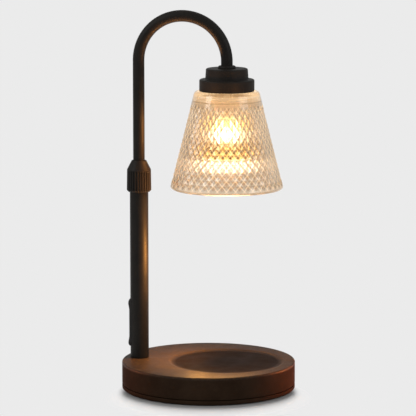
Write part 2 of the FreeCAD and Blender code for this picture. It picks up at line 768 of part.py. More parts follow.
def make_guide():
    """Guide bush in the pole, held on the tube's tail between two clips."""
    inner = f"{TUBE_R}+run_gap"
    ring("guide_bush", inner, f"{POLE_BORE}-run_gap", f"{BUSH_TOP}-bush_length", BUSH_TOP, POLE_X)
    body = new_body("bush_clips", POLE_X)
    body.AllowCompound = True
    lows = (f"{BUSH_TOP}+end_gap", f"{BUSH_TOP}-bush_length-end_gap-clip_thick")
    for low in lows:
        sketch = new_sketch(body, "XY_Plane", low)
        draw_circle(sketch, "0", "0", f"{TUBE_R}+seat_gap+clip_width")
        draw_circle(sketch, "0", "0", f"{TUBE_R}+seat_gap")
        pad(body, sketch, "clip_thick")


# ---------------------------------------------------------------- rocker switch


def make_switch_module():
    """Switch block inside the pole, with two ears for the rocker's pin."""
    body = new_body("switch_module", POLE_X, "rocker_height")
    radius = f"({POLE_BORE}-seat_gap)"
    ear_inner = "(lug_width/2+lug_gap)"
    ear_half = "(lug_height/2+lug_gap*2)"
    block = new_sketch(body, "XY_Plane", "-module_length/2")
    draw_circle(block, "0", "0", radius)
    pad(body, block, "module_length")
    front = new_sketch(body, "XZ_Plane")
    draw_box(front, (f"-{POLE_R}", "-module_length"), ("-module_face", "module_length"))
    pocket(body, front, f"4*{radius}", both_ways=True)
    for offset, back in ((ear_inner, False), (f"-{ear_inner}", True)):
        ear = new_sketch(body, "XZ_Plane", offset)
        draw_box(ear, ("-ear_reach", f"-{ear_half}"), ("-lug_root", ear_half))
        pad(body, ear, "ear_width", back=back)
    well = new_sketch(body, "XZ_Plane")
    draw_box(well, (f"-{POLE_R}", f"-{ear_half}"), ("lug_gap-lug_root", ear_half))
    pocket(body, well, f"2*{ear_inner}", both_ways=True)
    hole = new_sketch(body, "XZ_Plane")
    draw_circle(hole, "-pivot_depth", "0", "pin_dia/2+seat_gap")
    pocket(body, hole, f"4*{radius}", both_ways=True)

    pin = new_body("rocker_pin", POLE_X, "rocker_height")
    rod = new_sketch(pin, "XZ_Plane")
    draw_circle(rod, "-pivot_depth", "0", "pin_dia/2")
    pad(pin, rod, f"2*{ear_inner}+2*ear_width", both_ways=True)


def make_switch_rocker():
    """Paddle of the switch: a proud lobe at each end and a pivot lug behind."""
    body = new_body("switch_rocker", POLE_X, "rocker_height")
    plate = new_sketch(body, "YZ_Plane", "-rocker_back")
    draw_obround(plate, "rocker_width", "rocker_length")
    pad(body, plate, f"{POLE_R}+rocker_lobe", back=True)

    half = "(rocker_length/2)"
    beyond = f"({half}+rocker_lobe)"
    outside = f"({POLE_R}*2+rocker_lobe)"
    middle = f"({POLE_R}+rocker_proud)"
    peak = f"({POLE_R}+rocker_lobe)"
    edge = f"({POLE_R}+rocker_edge)"
    rise = "(rocker_lobe-rocker_edge)"
    fall = "(rocker_lobe-rocker_proud)"
    flank = "(lobe_length-lobe_inset)"
    end_curve = f"-(lobe_inset^2+{rise}^2)/(2*{rise})"
    flank_curve = f"-({flank}^2+{fall}^2)/(2*{fall})"
    face = new_sketch(body, "XZ_Plane")
    draw_loop(
        face,
        [
            (outside, beyond),
            (edge, beyond),
            (edge, half),
            (peak, f"{half}-lobe_inset"),
            (middle, f"{half}-lobe_length"),
            (middle, f"lobe_length-{half}"),
            (peak, f"lobe_inset-{half}"),
            (edge, f"-{half}"),
            (edge, f"-{beyond}"),
            (outside, f"-{beyond}"),
        ],
        {2: end_curve, 3: flank_curve, 5: flank_curve, 6: end_curve},
    )
    groove(body, face)

    lug = new_sketch(body, "XZ_Plane")
    draw_box(lug, ("-rocker_back-rocker_proud", "-lug_height/2"), ("-lug_root", "lug_height/2"))
    pad(body, lug, "lug_width", both_ways=True)
    hole = new_sketch(body, "XZ_Plane")
    draw_circle(hole, "-pivot_depth", "0", "pin_dia/2+run_gap")
    pocket(body, hole, "lug_width*2", both_ways=True)


# ---------------------------------------------------------------- arm and cap


def make_arm_tube():
    """Gooseneck tube: straight tail, half-round bend and a short drop to the cap."""
    body = new_body("arm_tube", POLE_X)
    spine = new_sketch(body, "XZ_Plane")
    reach = value("bend_radius")
    high = value(BEND_HEIGHT)
    tail_line = Part.LineSegment(V(0, value(TUBE_FOOT), 0), V(0, high, 0))
    bend_circle = Part.Circle(V(reach, high, 0), V(0, 0, 1), reach)
    drop_line = Part.LineSegment(V(2 * reach, high, 0), V(2 * reach, value(TUBE_TIP), 0))
    tail = spine.addGeometry(tail_line, False)
    bend = spine.addGeometry(Part.ArcOfCircle(bend_circle, 0, math.pi), False)
    drop = spine.addGeometry(drop_line, False)
    join(spine, tail, 2, bend, 2)
    join(spine, bend, 1, drop, 1)
    hold_point(spine, tail, 1, "0", TUBE_FOOT)
    hold_point(spine, tail, 2, "0", BEND_HEIGHT)
    hold_point(spine, bend, 3, "bend_radius", BEND_HEIGHT)
    hold(spine, "DistanceY", drop, 1, BEND_HEIGHT)
    hold_point(spine, drop, 2, "2*bend_radius", TUBE_TIP)
    section = new_sketch(body, "XY_Plane", TUBE_FOOT)
    draw_circle(section, "0", "0", TUBE_R)
    draw_circle(section, "0", "0", f"{TUBE_R}-tube_wall")
    pipe = add(body, "AdditivePipe", section)
    pipe.Spine = (spine, ["Edge1", "Edge2", "Edge3"])


def make_shade_cap():
    """Spun stepped cap over the neck of the glass, and the ring on top of it."""
    bore = f"({TUBE_R}+seat_gap)"
    inner_step = f"({CAP_STEP}-cap_wall)"
    outline = [
        (bore, "cap_top_height"),
        (bore, CAP_ROOF),
        ("cap_top_dia/2-cap_wall", CAP_ROOF),
        ("cap_neck_dia/2-cap_wall", inner_step),
        ("cap_skirt_dia/2-cap_wall", inner_step),
        ("cap_skirt_dia/2-cap_wall", CAP_FOOT),
        ("cap_skirt_dia/2", CAP_FOOT),
        ("cap_skirt_dia/2", CAP_STEP),
        ("cap_neck_dia/2", CAP_STEP),
        ("cap_top_dia/2", "cap_top_height"),
    ]
    body, cap = turned("shade_cap", outline, None, SHADE_X)
    outer = [("cap_top_dia/2", "cap_top_height"), ("cap_skirt_dia/2", CAP_STEP)]
    rounded = blend(body, cap, outer, "cap_round")
    blend(body, rounded, [("cap_neck_dia/2", CAP_STEP)], "cap_fillet")

    top = "(cap_top_height+cap_ring_height)"
    body, collar = ring("cap_ring", bore, "cap_ring_dia/2", "cap_top_height", top, SHADE_X)
    blend(body, collar, [("cap_ring_dia/2", top)], "cap_ring_round")


def make_cap_inside():
    """Spacer, gallery cup and nut that clamp the cap to the arm."""
    bore = f"({TUBE_R}+seat_gap)"
    ring("cap_spacer", bore, "spacer_dia/2", CUP_TOP, CAP_ROOF, SHADE_X)
    outline = [
        (bore, CUP_TOP),
        (bore, CUP_ROOF),
        (f"{CUP_R}-cup_wall", CUP_ROOF),
        (f"{CUP_R}-cup_wall", RING_FOOT),
        (CUP_R, RING_FOOT),
        (CUP_R, CUP_TOP),
    ]
    body, _ = turned("gallery_cup", outline, None, SHADE_X)
    hole = new_sketch(body, "XY_Plane", CUP_ROOF)
    draw_circle(hole, *around("post_circle", "90"), "screw_dia/2+seat_gap")
    cut = pocket(body, hole, "cup_wall", back=True)
    repeat(body, [cut], "2")
    low = f"{CUP_ROOF}-tube_nut_thick"
    hex_nut("tube_nut", "tube_nut_flats", bore, low, "tube_nut_thick", SHADE_X)


def make_glass_shade():
    """Conical glass with a thick flat top, and the ring that holds it on the cup."""
    hole = f"({CUP_R}+shade_hole_gap)"
    slope = "((shade_dia-shade_top_dia)/2/shade_height)"
    roof_r = f"(shade_top_dia/2+{slope}*shade_top-shade_wall)"
    outline = [
        (hole, GLASS_TOP),
        (hole, GLASS_ROOF),
        (roof_r, GLASS_ROOF),
        ("shade_dia/2-shade_wall", GLASS_FOOT),
        ("shade_dia/2", GLASS_FOOT),
        ("shade_top_dia/2", GLASS_TOP),
    ]
    body, glass = turned("glass_shade", outline, None, SHADE_X)
    shoulder = blend(body, glass, [("shade_top_dia/2", GLASS_TOP)], "shade_shoulder")
    inside = blend(body, shoulder, [(roof_r, GLASS_ROOF)], "shade_inner_round")
    rim = [("shade_dia/2-shade_wall", GLASS_FOOT), ("shade_dia/2", GLASS_FOOT)]
    blend(body, inside, rim, "shade_rim_round")

    bore = f"({CUP_R}+seat_gap)"
    ring("shade_ring", bore, f"{CUP_R}+ring_width", RING_FOOT, GLASS_ROOF, SHADE_X)


# ---------------------------------------------------------------- lampholder and lamp


def make_lampholder():
    """Twist-lock lampholder: a body with a ring chamber, and its keyhole plate."""
    radius = "(holder_dia/2)"
    reach = "(pin_head/2+lamp_gap)"
    roof = f"({HOLDER_FOOT}+chamber_depth)"
    outline = [
        ("0", HOLDER_TOP),
        ("0", HOLDER_FOOT),
        (f"lamp_pins/2-{reach}", HOLDER_FOOT),
        (f"lamp_pins/2-{reach}", roof),
        (f"lamp_pins/2+{reach}", roof),
        (f"lamp_pins/2+{reach}", HOLDER_FOOT),
        (radius, HOLDER_FOOT),
        (radius, HOLDER_TOP),
    ]
    body, _ = turned("lampholder", outline, None, SHADE_X)
    post = new_sketch(body, "XY_Plane", HOLDER_TOP)
    place = around("post_circle", "90")
    draw_circle(post, *place, "post_dia/2")
    draw_circle(post, *place, "screw_dia/2+seat_gap")
    column = pad(body, post, "holder_drop")
    repeat(body, [column], "2")

    body = new_body("lampholder_face", SHADE_X)
    disc = new_sketch(body, "XY_Plane", FACE_FOOT)
    draw_circle(disc, "0", "0", radius)
    pad(body, disc, "face_thick")
    lock_end = new_sketch(body, "XY_Plane", FACE_FOOT)
    neck = "(pin_neck/2+lamp_gap)"
    draw_circle(lock_end, "lamp_pins/2", "0", neck)
    narrow = pocket(body, lock_end, "face_thick", back=True)
    entry = new_sketch(body, "XY_Plane", FACE_FOOT)
    draw_circle(entry, *around("lamp_pins", "-lamp_twist"), reach)
    wide = pocket(body, entry, "face_thick", back=True)
    track = new_sketch(body, "XZ_Plane")
    draw_box(track, (f"lamp_pins/2-{neck}", FACE_FOOT), (f"lamp_pins/2+{neck}", HOLDER_FOOT))
    between = groove(body, track)
    bind(between, "Angle", "lamp_twist")
    between.Reversed = True
    repeat(body, [narrow, wide, between], "2")


def make_lamp():
    """Twist-lock reflector lamp: base, pins, reflector, front glass and burner."""
    rim = "(lamp_dia/2)"
    neck = "(lamp_neck_dia/2)"
    collar = f"({LAMP_NECK}+lamp_collar)"
    outline = [
        ("0", LAMP_TOP),
        ("0", LAMP_NECK),
        (neck, LAMP_NECK),
        (neck, collar),
        ("lamp_base_dia/2", f"{collar}+lamp_slope"),
        ("lamp_base_dia/2", LAMP_TOP),
    ]
    body, _ = turned("lamp_base", outline, None, SHADE_X)
    for side in ("", "-"):
        flat = new_sketch(body, "XZ_Plane", f"{side}(lamp_flats/2)")
        draw_box(flat, (f"-{neck}", f"{collar}+lamp_slope"), (neck, LAMP_TOP))
        pocket(body, flat, neck, back=not side)

    pins = new_body("lamp_pins", SHADE_X)
    pins.AllowCompound = True
    shank = new_sketch(pins, "XY_Plane", LAMP_TOP)
    draw_circle(shank, "lamp_pins/2", "0", "pin_neck/2")
    rod = pad(pins, shank, "pin_length")
    head = new_sketch(pins, "XY_Plane", f"{LAMP_TOP}+pin_length-pin_head_thick")
    draw_circle(head, "lamp_pins/2", "0", "pin_head/2")
    knob = pad(pins, head, "pin_head_thick")
    repeat(pins, [rod, knob], "2")

    shoulder = f"({LAMP_FOOT}+lamp_rim)"
    outline = [
        (f"{rim}-lamp_wall", LAMP_FOOT),
        (rim, LAMP_FOOT),
        (rim, shoulder),
        (neck, LAMP_NECK),
        (f"{neck}-lamp_wall", LAMP_NECK),
        (f"{rim}-lamp_wall", shoulder),
    ]
    rise = f"({LAMP_NECK}-{shoulder})"
    draw_in = f"({rim}-{neck})"
    curve = f"({rise}^2+{draw_in}^2)/(2*{draw_in})"
    turned("lamp_reflector", outline, {2: curve, 4: f"-{curve}"}, SHADE_X)

    low = f"({LAMP_FOOT}+lens_inset)"
    ring("lamp_lens", "0", f"{rim}-lamp_wall-seat_gap", low, f"{low}+lens_thick", SHADE_X)
    tip = f"({LAMP_NECK}-capsule_length)"
    body, bulb = ring("lamp_capsule", "0", "capsule_dia/2", tip, LAMP_NECK, SHADE_X)
    blend(body, bulb, [("capsule_dia/2", tip)], "capsule_round")


# ---------------------------------------------------------------- the whole lamp


def make_everything():
    """Fill the sheet, then build every piece from the base up."""
    fill_sheet()
    make_base_shell()
    make_bottom_plate()
    make_foot_pad()
    make_ballast()
    bottom_place = around("boss_circle", "45")
    make_screws("bottom_screws", bottom_place, "4", "foot_stand", "screw_length", False)
    make_cord_grommet()
    make_lower_pole()
    make_pole_stud()
    make_pole_fastening()
    make_lock_body()
    make_collet()
    make_lock_nut()
    make_guide()
    make_switch_module()
    make_switch_rocker()
    make_arm_tube()
    make_shade_cap()
    make_cap_inside()
    post_place = around("post_circle", "90")
    make_screws("holder_screws", post_place, "2", CUP_TOP, "holder_screw_length", True, SHADE_X)
    make_glass_shade()
    make_lampholder()
    make_lamp()
    doc.recompute()


def check_everything():
    """Stop when an object failed or a piece isn't a sound solid."""
    for thing in doc.Objects:
        if "Invalid" in thing.State or "Error" in thing.State:
            raise RuntimeError(f"{thing.Label} is {thing.State}")
    for body in parts:
        shape = body.Shape
        if shape.isNull() or not shape.isValid() or not shape.Solids:
            raise RuntimeError(f"{body.Label} has no sound solid")


def write_parts():
    """Write each piece to parts/LABEL.step."""
    os.makedirs("parts", exist_ok=True)
    for body in parts:
        body.Shape.exportStep(f"parts/{body.Label}.step")


make_everything()
check_everything()
write_parts()
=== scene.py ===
"""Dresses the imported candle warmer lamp: meshes, finishes, lights and camera.

Sizes are in millimetres and become metres when a mesh or a node is made. The lamp
stands on the plane z = 0, its arm reaches along +X, and its switch's paddle faces -X.
"""

import sys

import json
import logging
import math
from collections.abc import Sequence
from dataclasses import dataclass
from enum import Enum

import bmesh
import bpy
from mathutils import Matrix, Vector

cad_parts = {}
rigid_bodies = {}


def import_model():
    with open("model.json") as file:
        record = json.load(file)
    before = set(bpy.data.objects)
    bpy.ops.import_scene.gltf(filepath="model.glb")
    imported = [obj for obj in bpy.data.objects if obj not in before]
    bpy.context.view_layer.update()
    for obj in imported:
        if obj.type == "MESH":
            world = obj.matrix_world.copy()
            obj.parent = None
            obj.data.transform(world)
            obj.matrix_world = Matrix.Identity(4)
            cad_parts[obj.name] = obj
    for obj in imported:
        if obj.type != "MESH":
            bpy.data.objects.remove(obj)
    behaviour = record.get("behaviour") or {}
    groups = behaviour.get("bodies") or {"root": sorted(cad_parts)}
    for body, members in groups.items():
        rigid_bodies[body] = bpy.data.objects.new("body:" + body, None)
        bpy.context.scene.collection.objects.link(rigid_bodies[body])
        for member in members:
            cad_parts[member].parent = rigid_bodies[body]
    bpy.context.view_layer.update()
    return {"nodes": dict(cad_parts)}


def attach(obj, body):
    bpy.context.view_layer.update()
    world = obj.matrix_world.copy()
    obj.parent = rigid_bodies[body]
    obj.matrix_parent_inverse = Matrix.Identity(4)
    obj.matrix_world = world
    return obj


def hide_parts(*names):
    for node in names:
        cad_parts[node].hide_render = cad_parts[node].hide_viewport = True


log = logging.getLogger("lamp")

MM = 0.001
POLE_X = -61.5
SHADE_X = 16.0
TURN = 2 * math.pi

Socket = bpy.types.NodeSocket
Node = bpy.types.Node
Object = bpy.types.Object
Collection = bpy.types.Collection
Shape = bmesh.types.BMesh
Ring = list[bmesh.types.BMVert]
Point = tuple[float, float]
Triple = tuple[float, float, float]


class Body(Enum):
    """Rigid bodies of the lamp that a piece can ride on."""

    BASE = "base"
    LOCK_NUT = "lock_nut"
    ARM = "arm"
    LAMP = "lamp"
    ROCKER = "rocker"


class Slot(Enum):
    """Material slots that the record names."""

    BLACK_METAL = "black_metal"
    RUBBER = "rubber"
    CAST_IRON = "cast_iron"
    SCREW_STEEL = "screw_steel"
    ZINC_STEEL = "zinc_steel"
    BRASS = "brass"
    NYLON = "nylon"
    BLACK_PLASTIC = "black_plastic"
    CLEAR_GLASS = "clear_glass"
    PORCELAIN = "porcelain"
    NICKEL = "nickel"
    REFLECTOR_GLASS = "reflector_glass"
    LENS_GLASS = "lens_glass"
    BURNER = "burner"


# ---- node trees


class Term:
    """A node's output that sums can be written with, as in 1.0 - a * b."""

    def __init__(self, graph: "NodeGraph", socket: Socket) -> None:
        """Keeps the output and the tree that it belongs to."""
        self.graph, self.socket = graph, socket

    def __add__(self, other: object) -> "Term":
        """Adds a term or a number."""
        return self.graph.math("ADD", self, other)

    def __sub__(self, other: object) -> "Term":
        """Takes a term or a number away."""
        return self.graph.math("SUBTRACT", self, other)

    def __rsub__(self, other: object) -> "Term":
        """Takes this term away from a number."""
        return self.graph.math("SUBTRACT", other, self)

    def __mul__(self, other: object) -> "Term":
        """Multiplies by a term or a number."""
        return self.graph.math("MULTIPLY", self, other)

    def __truediv__(self, other: object) -> "Term":
        """Divides by a term or a number."""
        return self.graph.math("DIVIDE", self, other)

    def __abs__(self) -> "Term":
        """Drops the sign."""
        return self.graph.math("ABSOLUTE", self)

    def held(self) -> "Term":
        """Holds the last sum between 0 and 1."""
        self.socket.node.use_clamp = True
        return self


class NodeGraph:
    """Short hand for adding and joining the nodes of one tree."""

    def __init__(self, tree: bpy.types.NodeTree) -> None:
        """Keeps the tree that the nodes go into."""
        self.tree = tree

    def feed(self, socket: Socket, source: object) -> None:
        """Links a term into an input, or sets the input's own value.

        Args:
            socket: the input.
            source: a term or a plain value.
        """
        if isinstance(source, Term):
            self.tree.links.new(source.socket, socket)
        else:
            socket.default_value = source

    def set(self, node: Node, **given: object) -> Node:
        """Sets a node's properties and then feeds its inputs.

        Args:
            node: the node.
            given: properties, and inputs by capitalised name with _ for a space.

        Returns:
            The node.
        """
        for label in sorted(given, key=lambda name: name[0].isupper()):
            if label[0].isupper():
                self.feed(node.inputs[label.replace("_", " ")], given[label])
            else:
                setattr(node, label, given[label])
        return node

    def node(self, kind: str, **given: object) -> Node:
        """Adds a node by Blender's identifier and sets it up."""
        return self.set(self.tree.nodes.new(kind), **given)

    def term(self, kind: str, output: int | str = 0, **given: object) -> Term:
        """Adds a node and returns one of its outputs."""
        return Term(self, self.node(kind, **given).outputs[output])

    def chain(self, kind: str, *terms: object, output: int = 0, **given: object) -> Term:
        """Adds a node whose inputs are fed in their order.

        Args:
            kind: Blender's identifier of the node type.
            terms: terms or values for its inputs.
            output: the output to return.
            given: its properties.

        Returns:
            The output.
        """
        made = self.node(kind, **given)
        for socket, term in zip(made.inputs, terms):
            self.feed(socket, term)
        return Term(self, made.outputs[output])

    def math(self, operation: str, *terms: object) -> Term:
        """Adds a Math node for one of Blender's operations."""
        return self.chain("ShaderNodeMath", *terms, operation=operation)

    def span(self, source: Term, low: float, high: float, start: float, end: float) -> Term:
        """Maps low..high onto start..end and holds the ends."""
        return self.chain("ShaderNodeMapRange", source, low, high, start, end)

    def fade(
        self, length: Term, low: float, high: float, start: float = 1.0, end: float = 0.0
    ) -> Term:
        """Does the same for a length, between two sizes in millimetres."""
        return self.span(length, low * MM, high * MM, start, end)

    def split(self, vector: Term) -> tuple[Term, Term, Term]:
        """Separates a vector into its X, Y and Z."""
        made = self.node("ShaderNodeSeparateXYZ", Vector=vector)
        return tuple(Term(self, made.outputs[index]) for index in range(3))

    def vector(self, x: object, y: object, z: object) -> Term:
        """Combines three values into a vector."""
        return self.chain("ShaderNodeCombineXYZ", x, y, z)

    def reach(self, x: Term, y: Term) -> Term:
        """Returns the distance from an upright axis."""
        return self.math("SQRT", x * x + y * y)

    def turn(self, x: Term, y: Term) -> Term:
        """Returns the place round an upright axis, one for a whole turn."""
        return self.math("ARCTAN2", y, x) / TURN


class ShaderGraph(NodeGraph):
    """A shader tree or shader node group."""

    def mix(self, share: object, first: object, second: object) -> Term:
        """Mixes two colours.

        Args:
            share: how much of the second colour shows.
            first: a colour term, or red, green and blue.
            second: the same for the second colour.

        Returns:
            The mixed colour.
        """
        made = self.node("ShaderNodeMix", data_type="RGBA")
        for index, term in ((0, share), (6, first), (7, second)):
            self.feed(made.inputs[index], (*term, 1.0) if isinstance(term, tuple) else term)
        return Term(self, made.outputs[2])

    def layered(self, colour: Term, *layers: tuple[Term, Triple]) -> Term:
        """Lays colours over a colour.

        Args:
            colour: the lowest colour.
            layers: mask and colour of each layer.

        Returns:
            The resulting colour.
        """
        for mask, layer in layers:
            colour = self.mix(mask, colour, layer)
        return colour

    def noise(self, place: Term, scale: object, detail: float, rough: float) -> Term:
        """Adds a noise texture and returns its value."""
        given = {"Vector": place, "Scale": scale, "Detail": detail, "Roughness": rough}
        return self.term("ShaderNodeTexNoise", "Fac", **given)

    def cells(self, place: Term, scale: Term, feature: str) -> tuple[Term, Term]:
        """Adds a Voronoi texture and returns its distance and colour."""
        made = self.node("ShaderNodeTexVoronoi", feature=feature, Vector=place, Scale=scale).outputs
        return Term(self, made["Distance"]), Term(self, made["Color"])

    def bump(self, height: Term, distance: float, strength: float) -> Term:
        """Turns a height into a normal."""
        return self.term("ShaderNodeBump", Height=height, Distance=distance, Strength=strength)

    def faced(self, power: float) -> Term:
        """Returns 1 where a surface is seen straight on, falling off by a power."""
        facing = self.term("ShaderNodeLayerWeight", "Facing", Blend=0.5)
        return self.math("POWER", 1.0 - facing, power)

    def either(self, share: Term, first: Term, second: Term) -> Term:
        """Mixes two shaders."""
        return self.chain("ShaderNodeMixShader", share, first, second)


class SurfaceGraph(ShaderGraph):
    """A material's tree, with its shader and the coordinates of the piece."""

    def __init__(self, material: bpy.types.Material, axis_x: float = 0.0) -> None:
        """Finds the shader and centres the coordinates.

        Args:
            material: the material, which gets its first nodes.
            axis_x: x of the axis that the coordinates are centred on.
        """
        material.use_nodes = True
        super().__init__(material.node_tree)
        self.shader = self.tree.nodes["Principled BSDF"]
        self.place = self.term("ShaderNodeTexCoord", "Object")
        if axis_x:
            shift = (-axis_x * MM, 0.0, 0.0)
            self.place = self.term("ShaderNodeMapping", Vector=self.place, Location=shift)

    def axes(self) -> tuple[Term, Term, Term]:
        """Returns the X, Y and Z of the place."""
        return self.split(self.place)

    def height(self) -> Term:
        """Returns the height above the floor."""
        return self.axes()[2]

    def clouds(
        self, scale: float, detail: float, rough: float, span: tuple[float, float, float, float]
    ) -> Term:
        """Spreads noise over the piece and maps it by the four numbers of span."""
        return self.span(self.noise(self.place, scale, detail, rough), *span)

    def paint(self, **given: object) -> None:
        """Feeds inputs of the shader by name, with _ for a space."""
        self.set(self.shader, **given)

    def surface(self, shader: Term) -> None:
        """Ends the tree with another shader than its own."""
        self.set(self.tree.nodes["Material Output"], Surface=shader)


class EffectGroup(ShaderGraph):
    """A shader node group that several finishes share."""

    name = "effect"
    inputs: dict[str, float] = {}
    outputs: tuple[str, ...] = ()

    def __init__(self) -> None:
        """Finds the group's tree, or builds it."""
        known = bpy.data.node_groups.get(self.name)
        super().__init__(known or bpy.data.node_groups.new(self.name, "ShaderNodeTree"))
        if known is None:
            self.build()

    def build(self) -> None:
        """Adds the group's sockets and nodes."""
        face = self.tree.interface
        face.new_socket("Vector", in_out="INPUT", socket_type="NodeSocketVector")
        for label, start in self.inputs.items():
            made = face.new_socket(label, in_out="INPUT", socket_type="NodeSocketFloat")
            made.default_value = start
        for label in self.outputs:
            face.new_socket(label, in_out="OUTPUT", socket_type="NodeSocketFloat")
        entry = self.node("NodeGroupInput").outputs
        given = {label: Term(self, entry[label]) for label in ("Vector", *self.inputs)}
        self.node("NodeGroupOutput", **self.wire(given))

    def wire(self, given: dict[str, Term]) -> dict[str, Term]:
        """Joins the group's inputs, given by name, to its outputs."""
        raise NotImplementedError

    def place(self, graph: SurfaceGraph, **amounts: float) -> dict[str, Term]:
        """Puts the group into a material and returns its outputs by name."""
        made = graph.node("ShaderNodeGroup", node_tree=self.tree, Vector=graph.place, **amounts)
        return {label: Term(graph, made.outputs[label]) for label in self.outputs}


class Grain(EffectGroup):
    """Fine grain of a sprayed, cast or moulded skin, with slow clouds of tone."""

    name = "surface grain"
    inputs = {"Cell": 2000.0, "Cloud": 60.0}
    outputs = ("Height", "Tone", "Pit")

    def wire(self, given: dict[str, Term]) -> dict[str, Term]:
        """Adds grain, clouds and small pits.

        Args:
            given: the group's inputs by name.

        Returns:
            Its outputs by name.
        """
        vector, cell = given["Vector"], given["Cell"]
        fine = self.noise(vector, cell, 3.0, 0.62)
        distance, _ = self.cells(vector, cell * 0.55, "SMOOTH_F1")
        knobs = 1.0 - distance
        cloud = self.noise(vector, given["Cloud"], 5.0, 0.6)
        return {
            "Height": knobs * 0.45 + fine * 0.55,
            "Tone": self.span(cloud, 0.32, 0.68, 0.0, 1.0),
            "Pit": self.span(fine, 0.34, 0.44, 1.0, 0.0),
        }


class Sparkle(EffectGroup):
    """Sparse bright flecks, one to a cell."""

    name = "mica flecks"
    inputs = {"Cell": 1500.0, "Share": 0.1}
    outputs = ("Mask",)

    def wire(self, given: dict[str, Term]) -> dict[str, Term]:
        """Picks a share of the cells and keeps the middle of each.

        Args:
            given: the group's inputs by name.

        Returns:
            Its outputs by name.
        """
        distance, colour = self.cells(given["Vector"], given["Cell"], "F1")
        pick = self.math("LESS_THAN", self.split(colour)[0], given["Share"])
        return {"Mask": pick * self.span(distance, 0.18, 0.42, 1.0, 0.0)}


class EdgeWearAndCreaseShade(EffectGroup):
    """Rubbed edges: convex places, broken up by noise; also a painted shade for concave creases."""

    # The group also puts out the mask of a painted shade in concave creases.
    name = "rubbed edges"
    inputs = {"Patch": 300.0, "Amount": 0.5}
    outputs = ("Mask", "Cavity")

    def wire(self, given: dict[str, Term]) -> dict[str, Term]:
        """Takes convex places from pointiness and thins them out, and takes hollows as a mask of
        painted shade.

        Args:
            given: the group's inputs by name.

        Returns:
            Its outputs by name.
        """
        shape = self.term("ShaderNodeNewGeometry", "Pointiness")
        convex = self.span(shape, 0.515, 0.6, 0.0, 1.0)
        patch = self.noise(given["Vector"], given["Patch"], 4.0, 0.65)
        broken = self.span(patch, 0.42, 0.66, 0.0, 1.0)
        worn = (convex * broken * given["Amount"]).held()
        # The second output is a painted shade: concave places by pointiness, where creases would
        # lie in shade.
        return {"Mask": worn, "Cavity": self.span(shape, 0.4, 0.492, 1.0, 0.0)}


class Dust(EffectGroup):
    """Dust that settles on what faces upwards."""

    name = "settled dust"
    inputs = {"Amount": 0.3}
    outputs = ("Mask",)

    def wire(self, given: dict[str, Term]) -> dict[str, Term]:
        """Keeps upward faces and breaks the dust into fine specks and drifts.

        Args:
            given: the group's inputs by name.

        Returns:
            Its outputs by name.
        """
        up = self.split(self.term("ShaderNodeNewGeometry", "Normal"))[2]
        flat = self.span(up, 0.55, 0.98, 0.0, 1.0)
        drift = self.span(self.noise(given["Vector"], 90.0, 5.0, 0.6), 0.4, 0.7, 0.15, 1.0)
        speck = self.span(self.noise(given["Vector"], 1500.0, 2.0, 0.5), 0.5, 0.72, 0.1, 1.0)
        return {"Mask": (flat * drift * speck * given["Amount"]).held()}


class ToolMarks(EffectGroup):
    """Fine rings that a lathe tool leaves round an upright axis."""

    name = "tool marks"
    inputs = {"Pitch": 4000.0}
    outputs = ("Height", "Tone")

    def wire(self, given: dict[str, Term]) -> dict[str, Term]:
        """Stretches noise round the axis, so that it varies with height and radius.

        Args:
            given: the group's inputs by name.

        Returns:
            Its outputs by name.
        """
        x, y, z = self.split(given["Vector"])
        lines = self.noise(self.vector(self.reach(x, y), z, 0.0), given["Pitch"], 2.0, 0.6)
        tone = self.noise(given["Vector"], 140.0, 4.0, 0.6)
        return {"Height": lines, "Tone": self.span(tone, 0.3, 0.7, 0.0, 1.0)}


# ---- finishes


@dataclass(frozen=True)
class Finish:
    """A material of the lamp. Subclasses wire the nodes."""

    name: str
    slot: Slot
    axis_x: float = 0.0

    def material(self) -> bpy.types.Material:
        """Builds the material, once only.

        Returns:
            The material.
        """
        known = bpy.data.materials.get(self.name)
        if known is not None:
            return known
        made = bpy.data.materials.new(self.name)
        self.wire(SurfaceGraph(made, self.axis_x))
        return made

    def wire(self, graph: SurfaceGraph) -> None:
        """Adds the finish's nodes."""
        raise NotImplementedError

    def dress(self, obj: Object) -> None:
        """Gives an object this material only."""
        obj.data.materials.clear()
        obj.data.materials.append(self.material())


